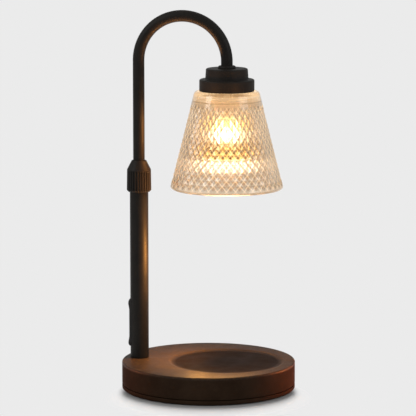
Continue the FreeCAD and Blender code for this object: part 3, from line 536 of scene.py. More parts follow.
@dataclass(frozen=True)
class PowderCoat(Finish):
    """Matt powder coat with a fine sand grain and tiny flecks."""

    deep: Triple = (0.0062, 0.0054, 0.0044)
    pale: Triple = (0.0118, 0.0098, 0.0078)
    # Colour of a painted shade laid in concave creases and grooves.
    hollow: Triple = (0.0015, 0.0013, 0.0012)
    fleck: Triple = (0.042, 0.032, 0.024)
    worn: Triple = (0.034, 0.026, 0.019)
    dust: Triple = (0.11, 0.085, 0.064)
    cell: float = 2300.0
    rough: float = 0.5
    sheen: float = 0.13
    dust_amount: float = 0.25
    grain: float = 0.05
    share: float = 0.07
    spark: float = 1900.0

    def wire(self, graph: SurfaceGraph) -> None:
        """Adds grain, flecks, a painted shade in creases, rubbed edges and dust.

        Args:
            graph: the material's tree.
        """
        grain = Grain().place(graph, Cell=self.cell, Cloud=45.0)
        flecks = Sparkle().place(graph, Cell=self.spark, Share=self.share)["Mask"]
        flecks = flecks * self.showing(graph)
        edges = EdgeWearAndCreaseShade().place(graph, Patch=420.0, Amount=0.6)
        dust = Dust().place(graph, Amount=self.dust_amount)["Mask"]
        colour = graph.layered(
            graph.mix(grain["Tone"], self.deep, self.pale),
            # Painted shade: darkens concave creases, such as the nut's flutes.
            (edges["Cavity"], self.hollow),
            (flecks, self.fleck),
            (edges["Mask"], self.worn),
            (dust, self.dust),
        )
        rough = graph.span(grain["Tone"], 0.0, 1.0, self.rough - 0.05, self.rough + 0.06)
        rough = edges["Mask"] * -0.1 + (rough - flecks * 0.16)
        graph.paint(
            Base_Color=self.shaded(graph, colour),
            Roughness=(dust * 0.3 + rough).held(),
            Normal=graph.bump(grain["Height"], self.grain * MM, 0.55),
            Specular_IOR_Level=self.mirrored(graph),
        )

    def mirrored(self, graph: SurfaceGraph) -> Term | float:
        """Returns how much the coat mirrors."""
        return self.sheen

    def showing(self, graph: SurfaceGraph) -> Term | float:
        """Returns how far the flecks show."""
        return 1.0

    def shaded(self, graph: SurfaceGraph, colour: Term) -> Term:
        """Returns the colour after any darkening of its own."""
        return colour


@dataclass(frozen=True)
class BaseCoat(PowderCoat):
    """Coat of the base: more flecks and sheen on its top, with a golden speckle there, painted
    glints of the lit top, and a painted jar shadow that darkens the dish.
    """

    top: float = 22.8
    dish: float = 48.5
    dish_x: float = SHADE_X
    # How dark the painted jar shadow makes the dish.
    darkness: float = 0.92
    sheen_from: Point = (21.5, 23.2)
    # Heights over which the painted glints fade in on the top.
    mottle_from: Point = (23.2, 23.9)

    def mirrored(self, graph: SurfaceGraph) -> Term | float:
        """Lets the top mirror more than the side and the dish."""
        level = graph.fade(graph.height(), *self.sheen_from, 0.002, self.sheen)
        # The painted jar shadow also lowers the sheen in the dish.
        return level * (self.inside(graph) * -0.9 + 1.0)

    def inside(self, graph: SurfaceGraph) -> Term:
        """Measures the painted shadow of a jar in the dish, with a soft edge.

        Args:
            graph: the material's tree.

        Returns:
            The shadow's strength well inside the dish, and 0 outside.
        """
        x, y, _ = graph.axes()
        reach = graph.reach(x - self.dish_x * MM, y)
        return graph.fade(reach, self.dish - 4.5, self.dish + 1.0, self.darkness)

    def showing(self, graph: SurfaceGraph) -> Term | float:
        """Shows the flecks on the top, and a little on the side, so that they stand for glints of
        the lit top: painted sparkle, on real flecks.
        """
        return graph.fade(graph.height(), self.top - 1.0, self.top, 0.04, 1.0)

    def shaded(self, graph: SurfaceGraph, colour: Term) -> Term:
        """Adds golden glints painted on the top and a painted jar shadow that darkens the dish.

        Args:
            graph: the material's tree.
            colour: the coat's colour.

        Returns:
            The changed colour.
        """
        # Painted glints: a golden speckle laid on the top only, where the warm light falls.
        painted_glints = graph.clouds(330.0, 5.0, 0.75, (0.5, 0.8, 0.0, 0.11))
        top = graph.fade(graph.height(), *self.mottle_from, 0.3, 1.0)
        # Colour of the painted jar shadow, darker than the coat.
        dark = tuple(0.3 * part for part in self.deep)
        return graph.layered(colour, (painted_glints * top, self.fleck), (self.inside(graph), dark))


@dataclass(frozen=True)
class Moulding(Finish):
    """Moulded or fired skin: rubber, plastic, nylon, porcelain or cast iron."""

    deep: Triple = (0.03, 0.03, 0.03)
    pale: Triple = (0.05, 0.05, 0.05)
    pit: Triple = (0.02, 0.02, 0.02)
    dust: Triple = (0.3, 0.28, 0.25)
    cell: float = 1800.0
    rough: float = 0.6
    relief: float = 0.03
    soft: float = 0.0
    # Strength of a painted glow: emission standing for the burner's light on a part that is no
    # lamp.
    glow: float = 0.0
    sheen: float = 0.5
    lit_below: Point = (234.0, 240.0)

    def wire(self, graph: SurfaceGraph) -> None:
        """Adds grain, pits, rubbed edges and dust, and a glow painted by emission on what stands
        near the burner.

        Args:
            graph: the material's tree.
        """
        grain = Grain().place(graph, Cell=self.cell, Cloud=60.0)
        wear = EdgeWearAndCreaseShade().place(graph, Patch=350.0, Amount=0.35)["Mask"]
        dust = Dust().place(graph, Amount=0.1)["Mask"]
        colour = graph.layered(
            graph.mix(grain["Tone"], self.deep, self.pale),
            (grain["Pit"] * 0.6, self.pit),
            (wear, tuple(min(1.0, part * 1.5) for part in self.pale)),
            (dust, self.dust),
        )
        rough = graph.span(grain["Tone"], 0.0, 1.0, self.rough - 0.06, self.rough + 0.06)
        graph.paint(
            Base_Color=colour,
            Roughness=(wear * -0.12 + rough).held(),
            Normal=graph.bump(grain["Height"], self.relief * MM, 0.5),
            Specular_IOR_Level=self.sheen,
            Subsurface_Weight=self.soft,
        )
        if self.soft:
            graph.paint(Subsurface_Scale=0.001)
        # Painted light: emission for the burner's light on the porcelain, stronger below the given
        # heights.
        if self.glow:
            lit = graph.fade(graph.height(), *self.lit_below)
            graph.paint(
                Emission_Color=graph.mix(lit, (1.0, 0.66, 0.38), (1.0, 0.76, 0.34)),
                Emission_Strength=lit * self.glow + 0.2 * self.glow,
            )


@dataclass(frozen=True)
class TurnedMetal(Finish):
    """Turned and plated metal with tool marks and a slight bloom."""

    bright: Triple = (0.62, 0.62, 0.63)
    dull: Triple = (0.42, 0.42, 0.43)
    stain: Triple = (0.2, 0.19, 0.18)
    rough: float = 0.3

    def wire(self, graph: SurfaceGraph) -> None:
        """Adds tool marks, dull patches and dark stained pits.

        Args:
            graph: the material's tree.
        """
        marks = ToolMarks().place(graph, Pitch=4200.0)
        grain = Grain().place(graph, Cell=2600.0, Cloud=160.0)
        wear = EdgeWearAndCreaseShade().place(graph, Patch=500.0, Amount=0.7)["Mask"]
        graph.paint(
            Base_Color=graph.layered(
                graph.mix(marks["Tone"], self.bright, self.dull),
                (grain["Pit"] * 0.35, self.stain),
                (wear, self.bright),
            ),
            Roughness=graph.span(marks["Height"], 0.3, 0.7, self.rough - 0.08, self.rough + 0.12),
            Normal=graph.bump(marks["Height"], 0.01 * MM, 0.35),
            Metallic=1.0,
        )


@dataclass(frozen=True)
class LitGlass(Finish):
    """Cut glass that a lamp shines through, with faint waves, and the lamp's light painted by
    emission into its grooves, a belt, its roof and its foot.
    """

    clear: Triple = (0.735, 0.605, 0.47)
    tinted: Triple = (0.685, 0.55, 0.41)
    seam_tint: Triple = (0.3, 0.2, 0.1)
    # Colour of a painted shade on the bottom of the brim.
    brim_tint: Triple = (0.2, 0.16, 0.12)
    # Colours of the painted light: glow for the grooves, roof and foot, belt_glow for the white
    # belt.
    glow: Triple = (1.0, 0.73, 0.43)
    belt_glow: Triple = (1.0, 0.9, 0.76)
    top_radius: float = 27.6
    top: float = 259.3
    slope: float = 0.25267
    around: float = 39.0
    first_row: float = 251.6
    pitch: float = 4.28
    seam: float = 251.1
    # belt sets the painted belt of light, brim the painted shade, foot the painted glow along the
    # foot.
    belt: float = 199.2
    brim: Point = (175.4, 176.8)
    foot: Point = (178.0, 179.5)
    cuts_foot: Point = (177.0, 179.0)
    cuts_top: Point = (247.3, 248.7)
    ceiling: Point = (246.2, 251.2)
    rough: float = 0.02
    frost: float = 0.22
    # Strengths of the painted emission in the grooves and under the roof.
    groove: float = 0.36
    roof: float = 0.3

    def wire(self, graph: SurfaceGraph) -> None:
        """Adds tint clouds, smears, waves, a painted shade on the brim, and warm light that
        emission paints into the glass.

        Args:
            graph: the material's tree.
        """
        height = graph.height()
        cloud = graph.clouds(38.0, 3.0, 0.5, (0.35, 0.65, 0.0, 1.0))
        colour = graph.layered(
            graph.mix(cloud, self.clear, self.tinted),
            (graph.fade(abs(height - self.seam * MM), 0.3, 0.6, 0.8), self.seam_tint),
            # Painted shade: the bottom of the brim is darkened.
            (graph.fade(height, *self.brim, 0.85), self.brim_tint),
        )
        smear = graph.clouds(260.0, 6.0, 0.7, (0.4, 0.75, self.rough, self.rough + 0.05))
        inner = self.inner_face(graph)
        # Painted light: the grooves and a belt facing the view glow by emission, for the lamp's
        # light refracted in the cuts.
        belt = graph.fade(abs(height - self.belt * MM), 3.5, 6.0) * graph.faced(11.0)
        line = self.grooves(graph) * (belt * 2.2 + self.groove)
        line = (belt * 0.85 + line) * (1.0 - inner)
        # Painted light: a glow under the roof and along the foot.
        under = graph.fade(height, *self.ceiling, 0.0, self.roof) * inner
        painted_roof_and_foot_glow = graph.math("MAXIMUM", under, graph.fade(height, *self.foot, 0.05))
        graph.paint(
            Base_Color=colour,
            Roughness=inner * self.frost + smear,
            Emission_Strength=line + painted_roof_and_foot_glow,
            Emission_Color=graph.mix(belt, self.glow, self.belt_glow),
            Normal=graph.bump(graph.noise(graph.place, 120.0, 2.0, 0.4), 0.01 * MM, 0.5),
            Transmission_Weight=1.0,
            IOR=1.5,
        )
        shadow = graph.term("ShaderNodeLightPath", "Is Shadow Ray")
        through = graph.term("ShaderNodeBsdfTransparent", Color=(*self.clear, 1.0))
        graph.surface(graph.either(shadow, Term(graph, graph.shader.outputs["BSDF"]), through))

    def inner_face(self, graph: SurfaceGraph) -> Term:
        """Tells the faces of the cone of glass apart.

        Args:
            graph: the material's tree.

        Returns:
            1 on the inner face and 0 on the outer one.
        """
        x, y, z = graph.axes()
        outer = (self.top * MM - z) * self.slope + self.top_radius * MM
        return graph.fade(outer - graph.reach(x, y), 1.5, 2.2, 0.0, 1.0)

    def grooves(self, graph: SurfaceGraph) -> Term:
        """Finds the two sets of slanting grooves.

        Args:
            graph: the material's tree.

        Returns:
            1 along the grooves and 0 between them.
        """
        x, y, z = graph.axes()
        across = graph.turn(x, y) * self.around
        down = (self.first_row * MM - z) / (2 * self.pitch * MM)
        lines = []
        for way in (1.0, -1.0):
            off = abs(graph.math("FRACT", down * way + across + 0.5) - 0.5)
            lines.append(graph.span(off, 0.04, 0.095, 1.0, 0.0))
        rows = graph.fade(z, *self.cuts_foot, 0.0, 1.0) * graph.fade(z, *self.cuts_top)
        return graph.math("MAXIMUM", *lines) * rows


@dataclass(frozen=True)
class SilveredGlass(Finish):
    """Thinly coated reflector glass that lets warm light leak out at the back."""

    clear: Triple = (1.0, 0.96, 0.9)
    amber: Triple = (0.37, 0.275, 0.125)
    gold: Triple = (1.0, 0.84, 0.5)
    hot: Triple = (1.0, 0.97, 0.9)
    warm: Triple = (1.0, 0.7, 0.26)
    rim: Point = (200.3, 201.7)
    bowl: Point = (213.5, 222.5)
    neck: Point = (224.5, 228.5)

    def wire(self, graph: SurfaceGraph) -> None:
        """Adds a patchy coating, a hot rim and bowl and an amber belt between them.

        Args:
            graph: the material's tree.
        """
        height = graph.height()
        patch = graph.noise(graph.place, 300.0, 4.0, 0.6)
        rim = graph.fade(height, *self.rim)
        bowl = graph.fade(height, *self.bowl, 0.0, 1.0)
        neck = graph.fade(height, *self.neck, 0.0, 1.0)
        bare = rim + bowl
        core = (bowl - neck).held() * graph.faced(22.0)
        level = core * 4.0 + (bowl * 0.05 + 0.06)
        level = neck * graph.faced(6.0) * 0.4 + (rim * 2.6 + level)
        graph.paint(
            Base_Color=graph.mix(neck, graph.mix(bare, self.amber, self.clear), self.gold),
            Roughness=graph.span(patch, 0.3, 0.7, 0.2, 0.3),
            Emission_Color=graph.mix(bare - neck, self.warm, self.hot),
            Emission_Strength=level * graph.span(patch, 0.35, 0.65, 0.85, 1.0),
            Transmission_Weight=0.85,
        )


@dataclass(frozen=True)
class LitLens(Finish):
    """Frosted front glass, lit from behind and brightest in its middle."""

    core: Triple = (1.0, 0.94, 0.8)
    rim: Triple = (1.0, 0.82, 0.56)
    zone: Point = (4.0, 23.0)
    strength: float = 8.0

    def wire(self, graph: SurfaceGraph) -> None:
        """Adds rings of prisms, frosting and a bright middle.

        Args:
            graph: the material's tree.
        """
        x, y, _ = graph.axes()
        reach = graph.reach(x, y)
        frost = graph.clouds(800.0, 4.0, 0.6, (0.3, 0.7, 0.8, 1.0))
        colour = graph.mix(graph.fade(reach, *self.zone, 1.0, 0.15) * frost, self.rim, self.core)
        graph.paint(
            Base_Color=colour,
            Emission_Color=colour,
            Roughness=1.25 - frost,
            Normal=graph.bump(graph.math("SINE", reach * 5200.0), 0.1 * MM, 0.4),
            Emission_Strength=self.strength,
        )


@dataclass(frozen=True)
class LitBurner(Finish):
    """Frosted burner that glows from its middle."""

    core: Triple = (1.0, 0.97, 0.92)
    skin: Triple = (1.0, 0.86, 0.62)
    middle: float = 221.5
    strength: float = 13.0

    def wire(self, graph: SurfaceGraph) -> None:
        """Adds a hot middle band and frosting.

        Args:
            graph: the material's tree.
        """
        height = graph.height()
        heat = graph.fade(abs(height - self.middle * MM), 2.0, 12.0)
        frost = graph.clouds(900.0, 3.0, 0.6, (0.3, 0.7, 0.85, 1.0))
        colour = graph.mix(heat * frost, self.skin, self.core)
        graph.paint(
            Base_Color=colour,
            Emission_Color=colour,
            Roughness=1.3 - frost,
            Emission_Strength=self.strength,
        )


COAT = PowderCoat("black powder coat", Slot.BLACK_METAL)
BASE_COAT = BaseCoat(
    "brown-black powder coat of the base",
    Slot.BLACK_METAL,
    deep=(0.0125, 0.0078, 0.0052),
    pale=(0.0185, 0.0121, 0.0081),
    # Bright golden flecks, shown mostly on the top as painted glints of its lit face.
    fleck=(0.17, 0.102, 0.05),
    share=0.2,
    spark=2700.0,
    sheen=0.07,
    dust_amount=0.16,
)
RUBBER = Moulding("foot rubber", Slot.RUBBER, rough=0.78, cell=1300.0)
IRON = Moulding(
    "cast iron",
    Slot.CAST_IRON,
    deep=(0.09, 0.08, 0.075),
    pale=(0.17, 0.155, 0.145),
    pit=(0.05, 0.03, 0.02),
    cell=700.0,
    rough=0.72,
    relief=0.25,
)
PLASTIC = Moulding(
    "black moulded plastic",
    Slot.BLACK_PLASTIC,
    deep=(0.011, 0.0105, 0.01),
    pale=(0.018, 0.017, 0.0165),
    pit=(0.006, 0.006, 0.006),
    cell=2400.0,
    rough=0.42,
    sheen=0.2,
)
NYLON = Moulding(
    "natural nylon",
    Slot.NYLON,
    deep=(0.66, 0.64, 0.57),
    pale=(0.76, 0.74, 0.68),
    pit=(0.6, 0.57, 0.5),
    rough=0.45,
    soft=0.3,
)
PORCELAIN = Moulding(
    "lampholder porcelain",
    Slot.PORCELAIN,
    deep=(0.74, 0.7, 0.62),
    pale=(0.84, 0.81, 0.75),
    pit=(0.6, 0.54, 0.45),
    rough=0.5,
    soft=0.15,
    # Painted glow of the lampholder and the lamp's base, as if lit by the burner.
    glow=1.7,
)
ZINC = TurnedMetal("zinc plate", Slot.ZINC_STEEL, POLE_X)
# A paler, warmer copy of the zinc plate for the gallery inside the lit shade: partly the plate's
# colour, partly painted lamp light.
LAMP_LIT_ZINC = TurnedMetal(
    "bright zinc plate of the gallery",
    Slot.ZINC_STEEL,
    SHADE_X,
    bright=(0.93, 0.86, 0.74),
    dull=(0.8, 0.72, 0.6),
    stain=(0.55, 0.42, 0.28),
    rough=0.42,
)
SCREW_STEEL = TurnedMetal(
    "screw steel",
    Slot.SCREW_STEEL,
    bright=(0.34, 0.34, 0.36),
    dull=(0.2, 0.2, 0.21),
    stain=(0.08, 0.07, 0.06),
    rough=0.36,
)
BRASS = TurnedMetal(
    "turned brass",
    Slot.BRASS,
    POLE_X,
    bright=(0.78, 0.6, 0.3),
    dull=(0.6, 0.44, 0.2),
    stain=(0.3, 0.19, 0.08),
)
NICKEL = TurnedMetal(
    "nickel plate",
    Slot.NICKEL,
    SHADE_X,
    bright=(0.7, 0.66, 0.6),
    dull=(0.5, 0.47, 0.42),
    rough=0.24,
)
CUT_GLASS = LitGlass("pressed glass", Slot.CLEAR_GLASS, SHADE_X)
LENS = LitLens("lit front glass", Slot.LENS_GLASS, SHADE_X)
SILVERED = SilveredGlass("silvered reflector glass", Slot.REFLECTOR_GLASS, SHADE_X)
BURNER = LitBurner("lit burner", Slot.BURNER, SHADE_X)


# ---- mesh builders


Outline = Sequence[tuple[float, ...]]


def soften(outline: Outline, steps: int = 6) -> list[Point]:
    """Rounds the corners of a closed outline.

    Args:
        outline: radius, height and perhaps round of each corner, in order.
        steps: straight pieces that make up each round.

    Returns:
        The points of the rounded outline.
    """
    points: list[Point] = []
    for index, corner in enumerate(outline):
        if len(corner) < 3:
            points.append(corner)
            continue
        here, radius = Vector(corner[:2]), corner[2]
        back = (Vector(outline[index - 1][:2]) - here).normalized()
        ahead = (Vector(outline[(index + 1) % len(outline)][:2]) - here).normalized()
        half = back.angle(ahead) / 2
        centre = here + (back + ahead).normalized() * (radius / math.sin(half))
        start = here + back * (radius / math.tan(half)) - centre
        end = here + ahead * (radius / math.tan(half)) - centre
        first = math.atan2(start.y, start.x)
        sweep = (math.atan2(end.y, end.x) - first + math.pi) % TURN - math.pi
        for step in range(steps + 1):
            angle = first + sweep * step / steps
            spot = centre + Vector((math.cos(angle), math.sin(angle))) * radius
            points.append((spot.x, spot.y))
    return points


def linked(name: str, data: bpy.types.ID) -> Object:
    """Makes an object of a mesh, light or camera and puts it into the scene.

    Args:
        name: name of the object.
        data: what it is made of.

    Returns:
        The object.
    """
    obj = bpy.data.objects.new(name, data)
    bpy.context.scene.collection.objects.link(obj)
    return obj


def smooth(obj: Object, angle: float = 32.0) -> Object:
    """Shades an object smooth, but for its sharp edges.

    Args:
        obj: the object.
        angle: edges sharper than this stay sharp, in degrees.

    Returns:
        The object.
    """
    obj.data.polygons.foreach_set("use_smooth", [True] * len(obj.data.polygons))
    obj.data.set_sharp_from_angle(angle=math.radians(angle))
    return obj


def mesh_object(name: str, shape: Shape, angle: float = 32.0) -> Object:
    """Turns a bmesh in millimetres into a shown object in metres.

    Args:
        name: name of the object.
        shape: closed shape, which is freed.
        angle: edges sharper than this stay sharp, in degrees.

    Returns:
        The object, at the origin.
    """
    bmesh.ops.remove_doubles(shape, verts=shape.verts, dist=0.0005)
    bmesh.ops.recalc_face_normals(shape, faces=shape.faces)
    mesh = bpy.data.meshes.new(name)
    shape.to_mesh(mesh)
    shape.free()
    mesh.transform(Matrix.Scale(MM, 4))
    return smooth(linked(name, mesh), angle)


def polar(radius: float, angle: float, centre: Point = (0.0, 0.0)) -> Point:
    """Returns the x and y of a place round an upright axis."""
    return centre[0] + radius * math.cos(angle), centre[1] + radius * math.sin(angle)


def add_ring(shape: Shape, radius: float, height: float, centre: Point, segments: int) -> Ring:
    """Adds a ring of vertices.

    Args:
        shape: bmesh that they go into.
        radius: radius of the ring, or 0 for a single point.
        height: height of the ring.
        centre: x and y of its axis.
        segments: how many vertices it has.

    Returns:
        The vertices in order.
    """
    count = segments if radius > 1e-6 else 1
    spots = (polar(radius, TURN * index / segments, centre) for index in range(count))
    return [shape.verts.new((*spot, height)) for spot in spots]


def bridge(shape: Shape, rings: Sequence[Ring], skipped: int | None = None) -> None:
    """Joins each closed ring of vertices to the next, where either may be a single point.

    Args:
        shape: bmesh that the faces go into.
        rings: the rings in order.
        skipped: index of a ring that isn't joined to the next.
    """
    for place, (low, high) in enumerate(zip(rings, rings[1:])):
        count = max(len(low), len(high))
        if count == 1 or place == skipped:
            continue
        for index in range(count):
            after = (index + 1) % count
            corners = []
            for ring, order in ((low, (index, after)), (high, (after, index))):
                corners += [ring[0]] if len(ring) == 1 else [ring[spot] for spot in order]
            shape.faces.new(corners)


def spin(
    shape: Shape,
    outline: Sequence[Point],
    centre: Point,
    segments: int,
    skipped: int | None = None,
) -> None:
    """Turns a closed outline round an upright axis.

    Args:
        shape: bmesh that the faces go into.
        outline: radius and height of each point.
        centre: x and y of the axis.
        segments: faces round the axis.
        skipped: index of a point after which the skin is left open.
    """
    rings = [add_ring(shape, *point, centre, segments) for point in outline]
    bridge(shape, rings + rings[:1], skipped)


def turned(
    name: str,
    outline: Outline,
    centre_x: float = 0.0,
    segments: int = 160,
    steps: int = 6,
    angle: float = 32.0,
) -> Object:
    """Makes a turned piece from a closed outline.

    Args:
        name: name of the piece.
        outline: radius, height and perhaps round of each corner, in millimetres.
        centre_x: x of its axis.
        segments: faces round the axis.
        steps: straight pieces in each round.
        angle: edges sharper than this stay sharp, in degrees.

    Returns:
        The object.
    """
    shape = bmesh.new()
    spin(shape, soften(outline, steps), (centre_x, 0.0), segments)
    return mesh_object(name, shape, angle)


def settle(obj: Object) -> Object:
    """Applies an object's modifiers to its mesh.

    Args:
        obj: the object.

    Returns:
        The object.
    """
    bpy.context.view_layer.update()
    graph = bpy.context.evaluated_depsgraph_get()
    mesh = bpy.data.meshes.new_from_object(obj.evaluated_get(graph), depsgraph=graph)
    mesh.name = obj.name
    obj.modifiers.clear()
    old, obj.data = obj.data, mesh
    bpy.data.meshes.remove(old)
    return obj


def discard(obj: Object) -> None:
    """Removes a helper object and its mesh.

    Args:
        obj: the object.
    """
    mesh = obj.data
    bpy.data.objects.remove(obj)
    bpy.data.meshes.remove(mesh)


def combined(
    obj: Object, others: Sequence[Object], angle: float = 32.0, operation: str = "DIFFERENCE"
) -> Object:
    """Cuts other closed shapes out of a piece, or unites them with it.

    Args:
        obj: the piece.
        others: the other shapes, which are removed.
        angle: edges sharper than this stay sharp, in degrees.
        operation: Blender's name of the boolean operation.

    Returns:
        The piece.
    """
    for other in others:
        step = obj.modifiers.new(operation, "BOOLEAN")
        step.operation, step.solver, step.object = operation, "EXACT", other
    settle(obj)
    for other in others:
        discard(other)
    return smooth(obj, angle)


def refined(node: Object, name: str, bevel: float) -> Object:
    """Copies a node, merges its facets and softens its edges.

    Args:
        node: the node to copy, which stays as it is.
        name: name of the copy.
        bevel: width of the softened edges, in millimetres.

    Returns:
        The copy.
    """
    flat, sharp = math.radians(0.6), 30.0
    shape = bmesh.new()
    shape.from_mesh(node.data)
    bmesh.ops.remove_doubles(shape, verts=shape.verts, dist=0.002 * MM)
    bmesh.ops.dissolve_limit(shape, angle_limit=flat, verts=shape.verts, edges=shape.edges)
    mesh = bpy.data.meshes.new(name)
    shape.to_mesh(mesh)
    shape.free()
    obj = linked(name, mesh)
    if bevel > 0:
        step = obj.modifiers.new("soft edges", "BEVEL")
        step.width, step.segments = bevel * MM, 3
        step.limit_method, step.angle_limit = "ANGLE", math.radians(sharp)
        settle(obj)
    return smooth(obj, sharp)


def outward(obj: Object) -> Object:
    """Turns all faces of a closed mesh outwards and warns of open edges.

    Args:
        obj: the object with the mesh.

    Returns:
        The object.
    """
    shape = bmesh.new()
    shape.from_mesh(obj.data)
    bmesh.ops.recalc_face_normals(shape, faces=shape.faces)
    open_edges = sum(not edge.is_manifold for edge in shape.edges)
    if open_edges:
        log.warning("%s has %d open edges", obj.name, open_edges)
    shape.to_mesh(obj.data)
    shape.free()
    return obj


# ---- geometry nodes


class GeometryGraph(NodeGraph):
    """A Geometry Nodes tree with named inputs, used once on a seed object."""

    def __init__(self, name: str, sizes: Sequence[str], **others: str) -> None:
        """Makes the tree. It always has the inputs Geometry and Material.

        Args:
            name: name of the tree.
            sizes: names of its inputs that are plain numbers.
            others: kind of each other input by name, such as Vector or Int.
        """
        super().__init__(bpy.data.node_groups.new(name, "GeometryNodeTree"))
        kinds = {"Geometry": "Geometry", **dict.fromkeys(sizes, "Float"), **others}
        kinds["Material"] = "Material"
        sockets = self.tree.interface
        for label, kind in kinds.items():
            sockets.new_socket(label, in_out="INPUT", socket_type="NodeSocket" + kind)
        sockets.new_socket("Geometry", in_out="OUTPUT", socket_type="NodeSocketGeometry")
        self.entry = self.node("NodeGroupInput")

    def given(self, label: str) -> Term:
        """Returns one of the tree's inputs."""
        return Term(self, self.entry.outputs[label])

    def index(self) -> Term:
        """Returns the index of the point or vertex."""
        return self.term("GeometryNodeInputIndex")

    def position(self) -> tuple[Term, Term, Term]:
        """Returns where the vertex lies."""
        return self.split(self.term("GeometryNodeInputPosition"))

    def shifted(self, offset: Term, start: Term) -> Term:
        """Adds two vectors."""
        return self.chain("ShaderNodeVectorMath", offset, start, operation="ADD")

    def placed(self, shape: Term, position: Term) -> Term:
        """Puts the points of a shape where position says."""
        return self.term("GeometryNodeSetPosition", Geometry=shape, Position=position)

    def welded(self, distance: float, *shapes: Term) -> Term:
        """Joins shapes and merges the vertices that meet.

        Args:
            distance: how near two vertices lie that become one, in millimetres.
            shapes: the shapes.

        Returns:
            The joined shape.
        """
        both = self.node("GeometryNodeJoinGeometry")
        for shape in shapes:
            self.feed(both.inputs[0], shape)
        joint = Term(self, both.outputs[0])
        return self.term("GeometryNodeMergeByDistance", Geometry=joint, Distance=distance * MM)

    def press(self, x: Term, y: Term, depth: Term) -> None:
        """Presses the given shape towards its axis by a depth, and ends the tree.

        Args:
            x: distance from the axis along X.
            y: distance from the axis along Y.
            depth: how far each vertex goes.
        """
        pull = depth / self.math("MAXIMUM", self.reach(x, y), 0.1 * MM)
        shift = self.vector(x * pull * -1.0, y * pull * -1.0, 0.0)
        shape = self.given("Geometry")
        self.close(self.term("GeometryNodeSetPosition", Geometry=shape, Offset=shift))

    def close(self, shape: Term) -> None:
        """Realizes instances, sets the material and ends the tree.

        Args:
            shape: what the tree puts out.
        """
        real = self.term("GeometryNodeRealizeInstances", Geometry=shape)
        material = self.given("Material")
        painted = self.term("GeometryNodeSetMaterial", Geometry=real, Material=material)
        self.node("NodeGroupOutput", Geometry=painted)

    def run(self, obj: Object, finish: Finish, **sizes: object) -> Object:
        """Runs the tree on an object and keeps the result as its plain mesh.

        Args:
            obj: the seed object.
            finish: the finish that Set Material gives.
            sizes: the tree's inputs by name, with _ for a space.

        Returns:
            The object.
        """
        step = obj.modifiers.new(self.tree.name, "NODES")
        step.node_group = self.tree
        items = (item for item in self.tree.interface.items_tree if item.in_out == "INPUT")
        sockets = {item.name: item.identifier for item in items}
        step[sockets["Material"]] = finish.material()
        for label, size in sizes.items():
            step[sockets[label.replace("_", " ")]] = size
        return settle(obj)


def bent_tube_tree() -> GeometryGraph:
    """Tree of a tube that rises, turns over in a half circle and drops again.

    Returns:
        The tree.
    """
    sizes = ("Foot", "Bend Height", "Bend Radius", "Tip", "Radius", "Wall")
    graph = GeometryGraph("bent tube", sizes, Start="Vector")
    rise, turn, drop = 36, 108, 12
    high, reach = graph.given("Bend Height"), graph.given("Bend Radius")
    index = graph.index()
    angle = ((index - rise) / turn).held() * math.pi
    across = reach * (1.0 - graph.math("COSINE", angle))
    lift = reach * graph.math("SINE", angle)
    before = (high - graph.given("Foot")) * ((index / rise).held() - 1.0)
    after = (graph.given("Tip") - high) * ((index - (rise + turn)) / drop).held()
    line = graph.term("GeometryNodeMeshLine", mode="OFFSET", Count=rise + turn + drop + 1)
    spot = graph.vector(across, 0.0, (high + before) + (lift + after))
    bent = graph.placed(line, graph.shifted(spot, graph.given("Start")))
    path = graph.term("GeometryNodeMeshToCurve", Mesh=bent)
    radius = graph.given("Radius")
    ring = graph.term("GeometryNodeCurvePrimitiveCircle", Resolution=64, Radius=radius)
    skin = graph.term("GeometryNodeCurveToMesh", Curve=path, Profile_Curve=ring)
    inner = graph.term(
        "GeometryNodeExtrudeMesh",
        mode="FACES",
        Mesh=skin,
        Offset_Scale=graph.given("Wall") * -1.0,
        Individual=False,
    )
    flipped = graph.term("GeometryNodeFlipFaces", Mesh=inner)
    graph.close(graph.welded(0.002, flipped, skin))
    return graph


def ring_tree() -> GeometryGraph:
    """Tree that repeats one piece evenly on a circle round an upright axis.

    Returns:
        The tree.
    """
    others = {"Piece": "Object", "Count": "Int", "Centre": "Vector"}
    graph = GeometryGraph("pieces in a ring", ("Radius", "First"), **others)
    count, radius = graph.given("Count"), graph.given("Radius")
    pitch = graph.math("DIVIDE", TURN, count)
    angle = graph.index() * pitch + graph.given("First")
    x, y = radius * graph.math("COSINE", angle), radius * graph.math("SINE", angle)
    points = graph.term("GeometryNodePoints", Count=count)
    spot = graph.shifted(graph.vector(x, y, 0.0), graph.given("Centre"))
    piece = graph.term("GeometryNodeObjectInfo", "Geometry", Object=graph.given("Piece"))
    spread = graph.term(
        "GeometryNodeInstanceOnPoints",
        Points=graph.placed(points, spot),
        Instance=piece,
        Rotation=graph.vector(0.0, 0.0, angle),
    )
    graph.close(spread)
    return graph


def flute_tree() -> GeometryGraph:
    """Tree that presses evenly spaced V flutes into a turned piece.

    Returns:
        The tree.
    """
    sizes = ("Axis X", "Count", "Depth", "Share", "Low", "High", "Fade", "Least Radius")
    graph = GeometryGraph("flutes", sizes)
    x, y, z = graph.position()
    x = x - graph.given("Axis X")
    share = graph.math("FRACT", graph.turn(x, y) * graph.given("Count") + 1000.5)
    groove = (1.0 - abs(share - 0.5) / (graph.given("Share") * 0.5)).held()
    fade = graph.given("Fade")
    above = ((z - graph.given("Low")) / fade).held()
    below = ((graph.given("High") - z) / fade).held()
    outer = graph.math("GREATER_THAN", graph.reach(x, y), graph.given("Least Radius"))
    graph.press(x, y, (graph.given("Depth") * (above * below)) * (outer * groove))
    return graph


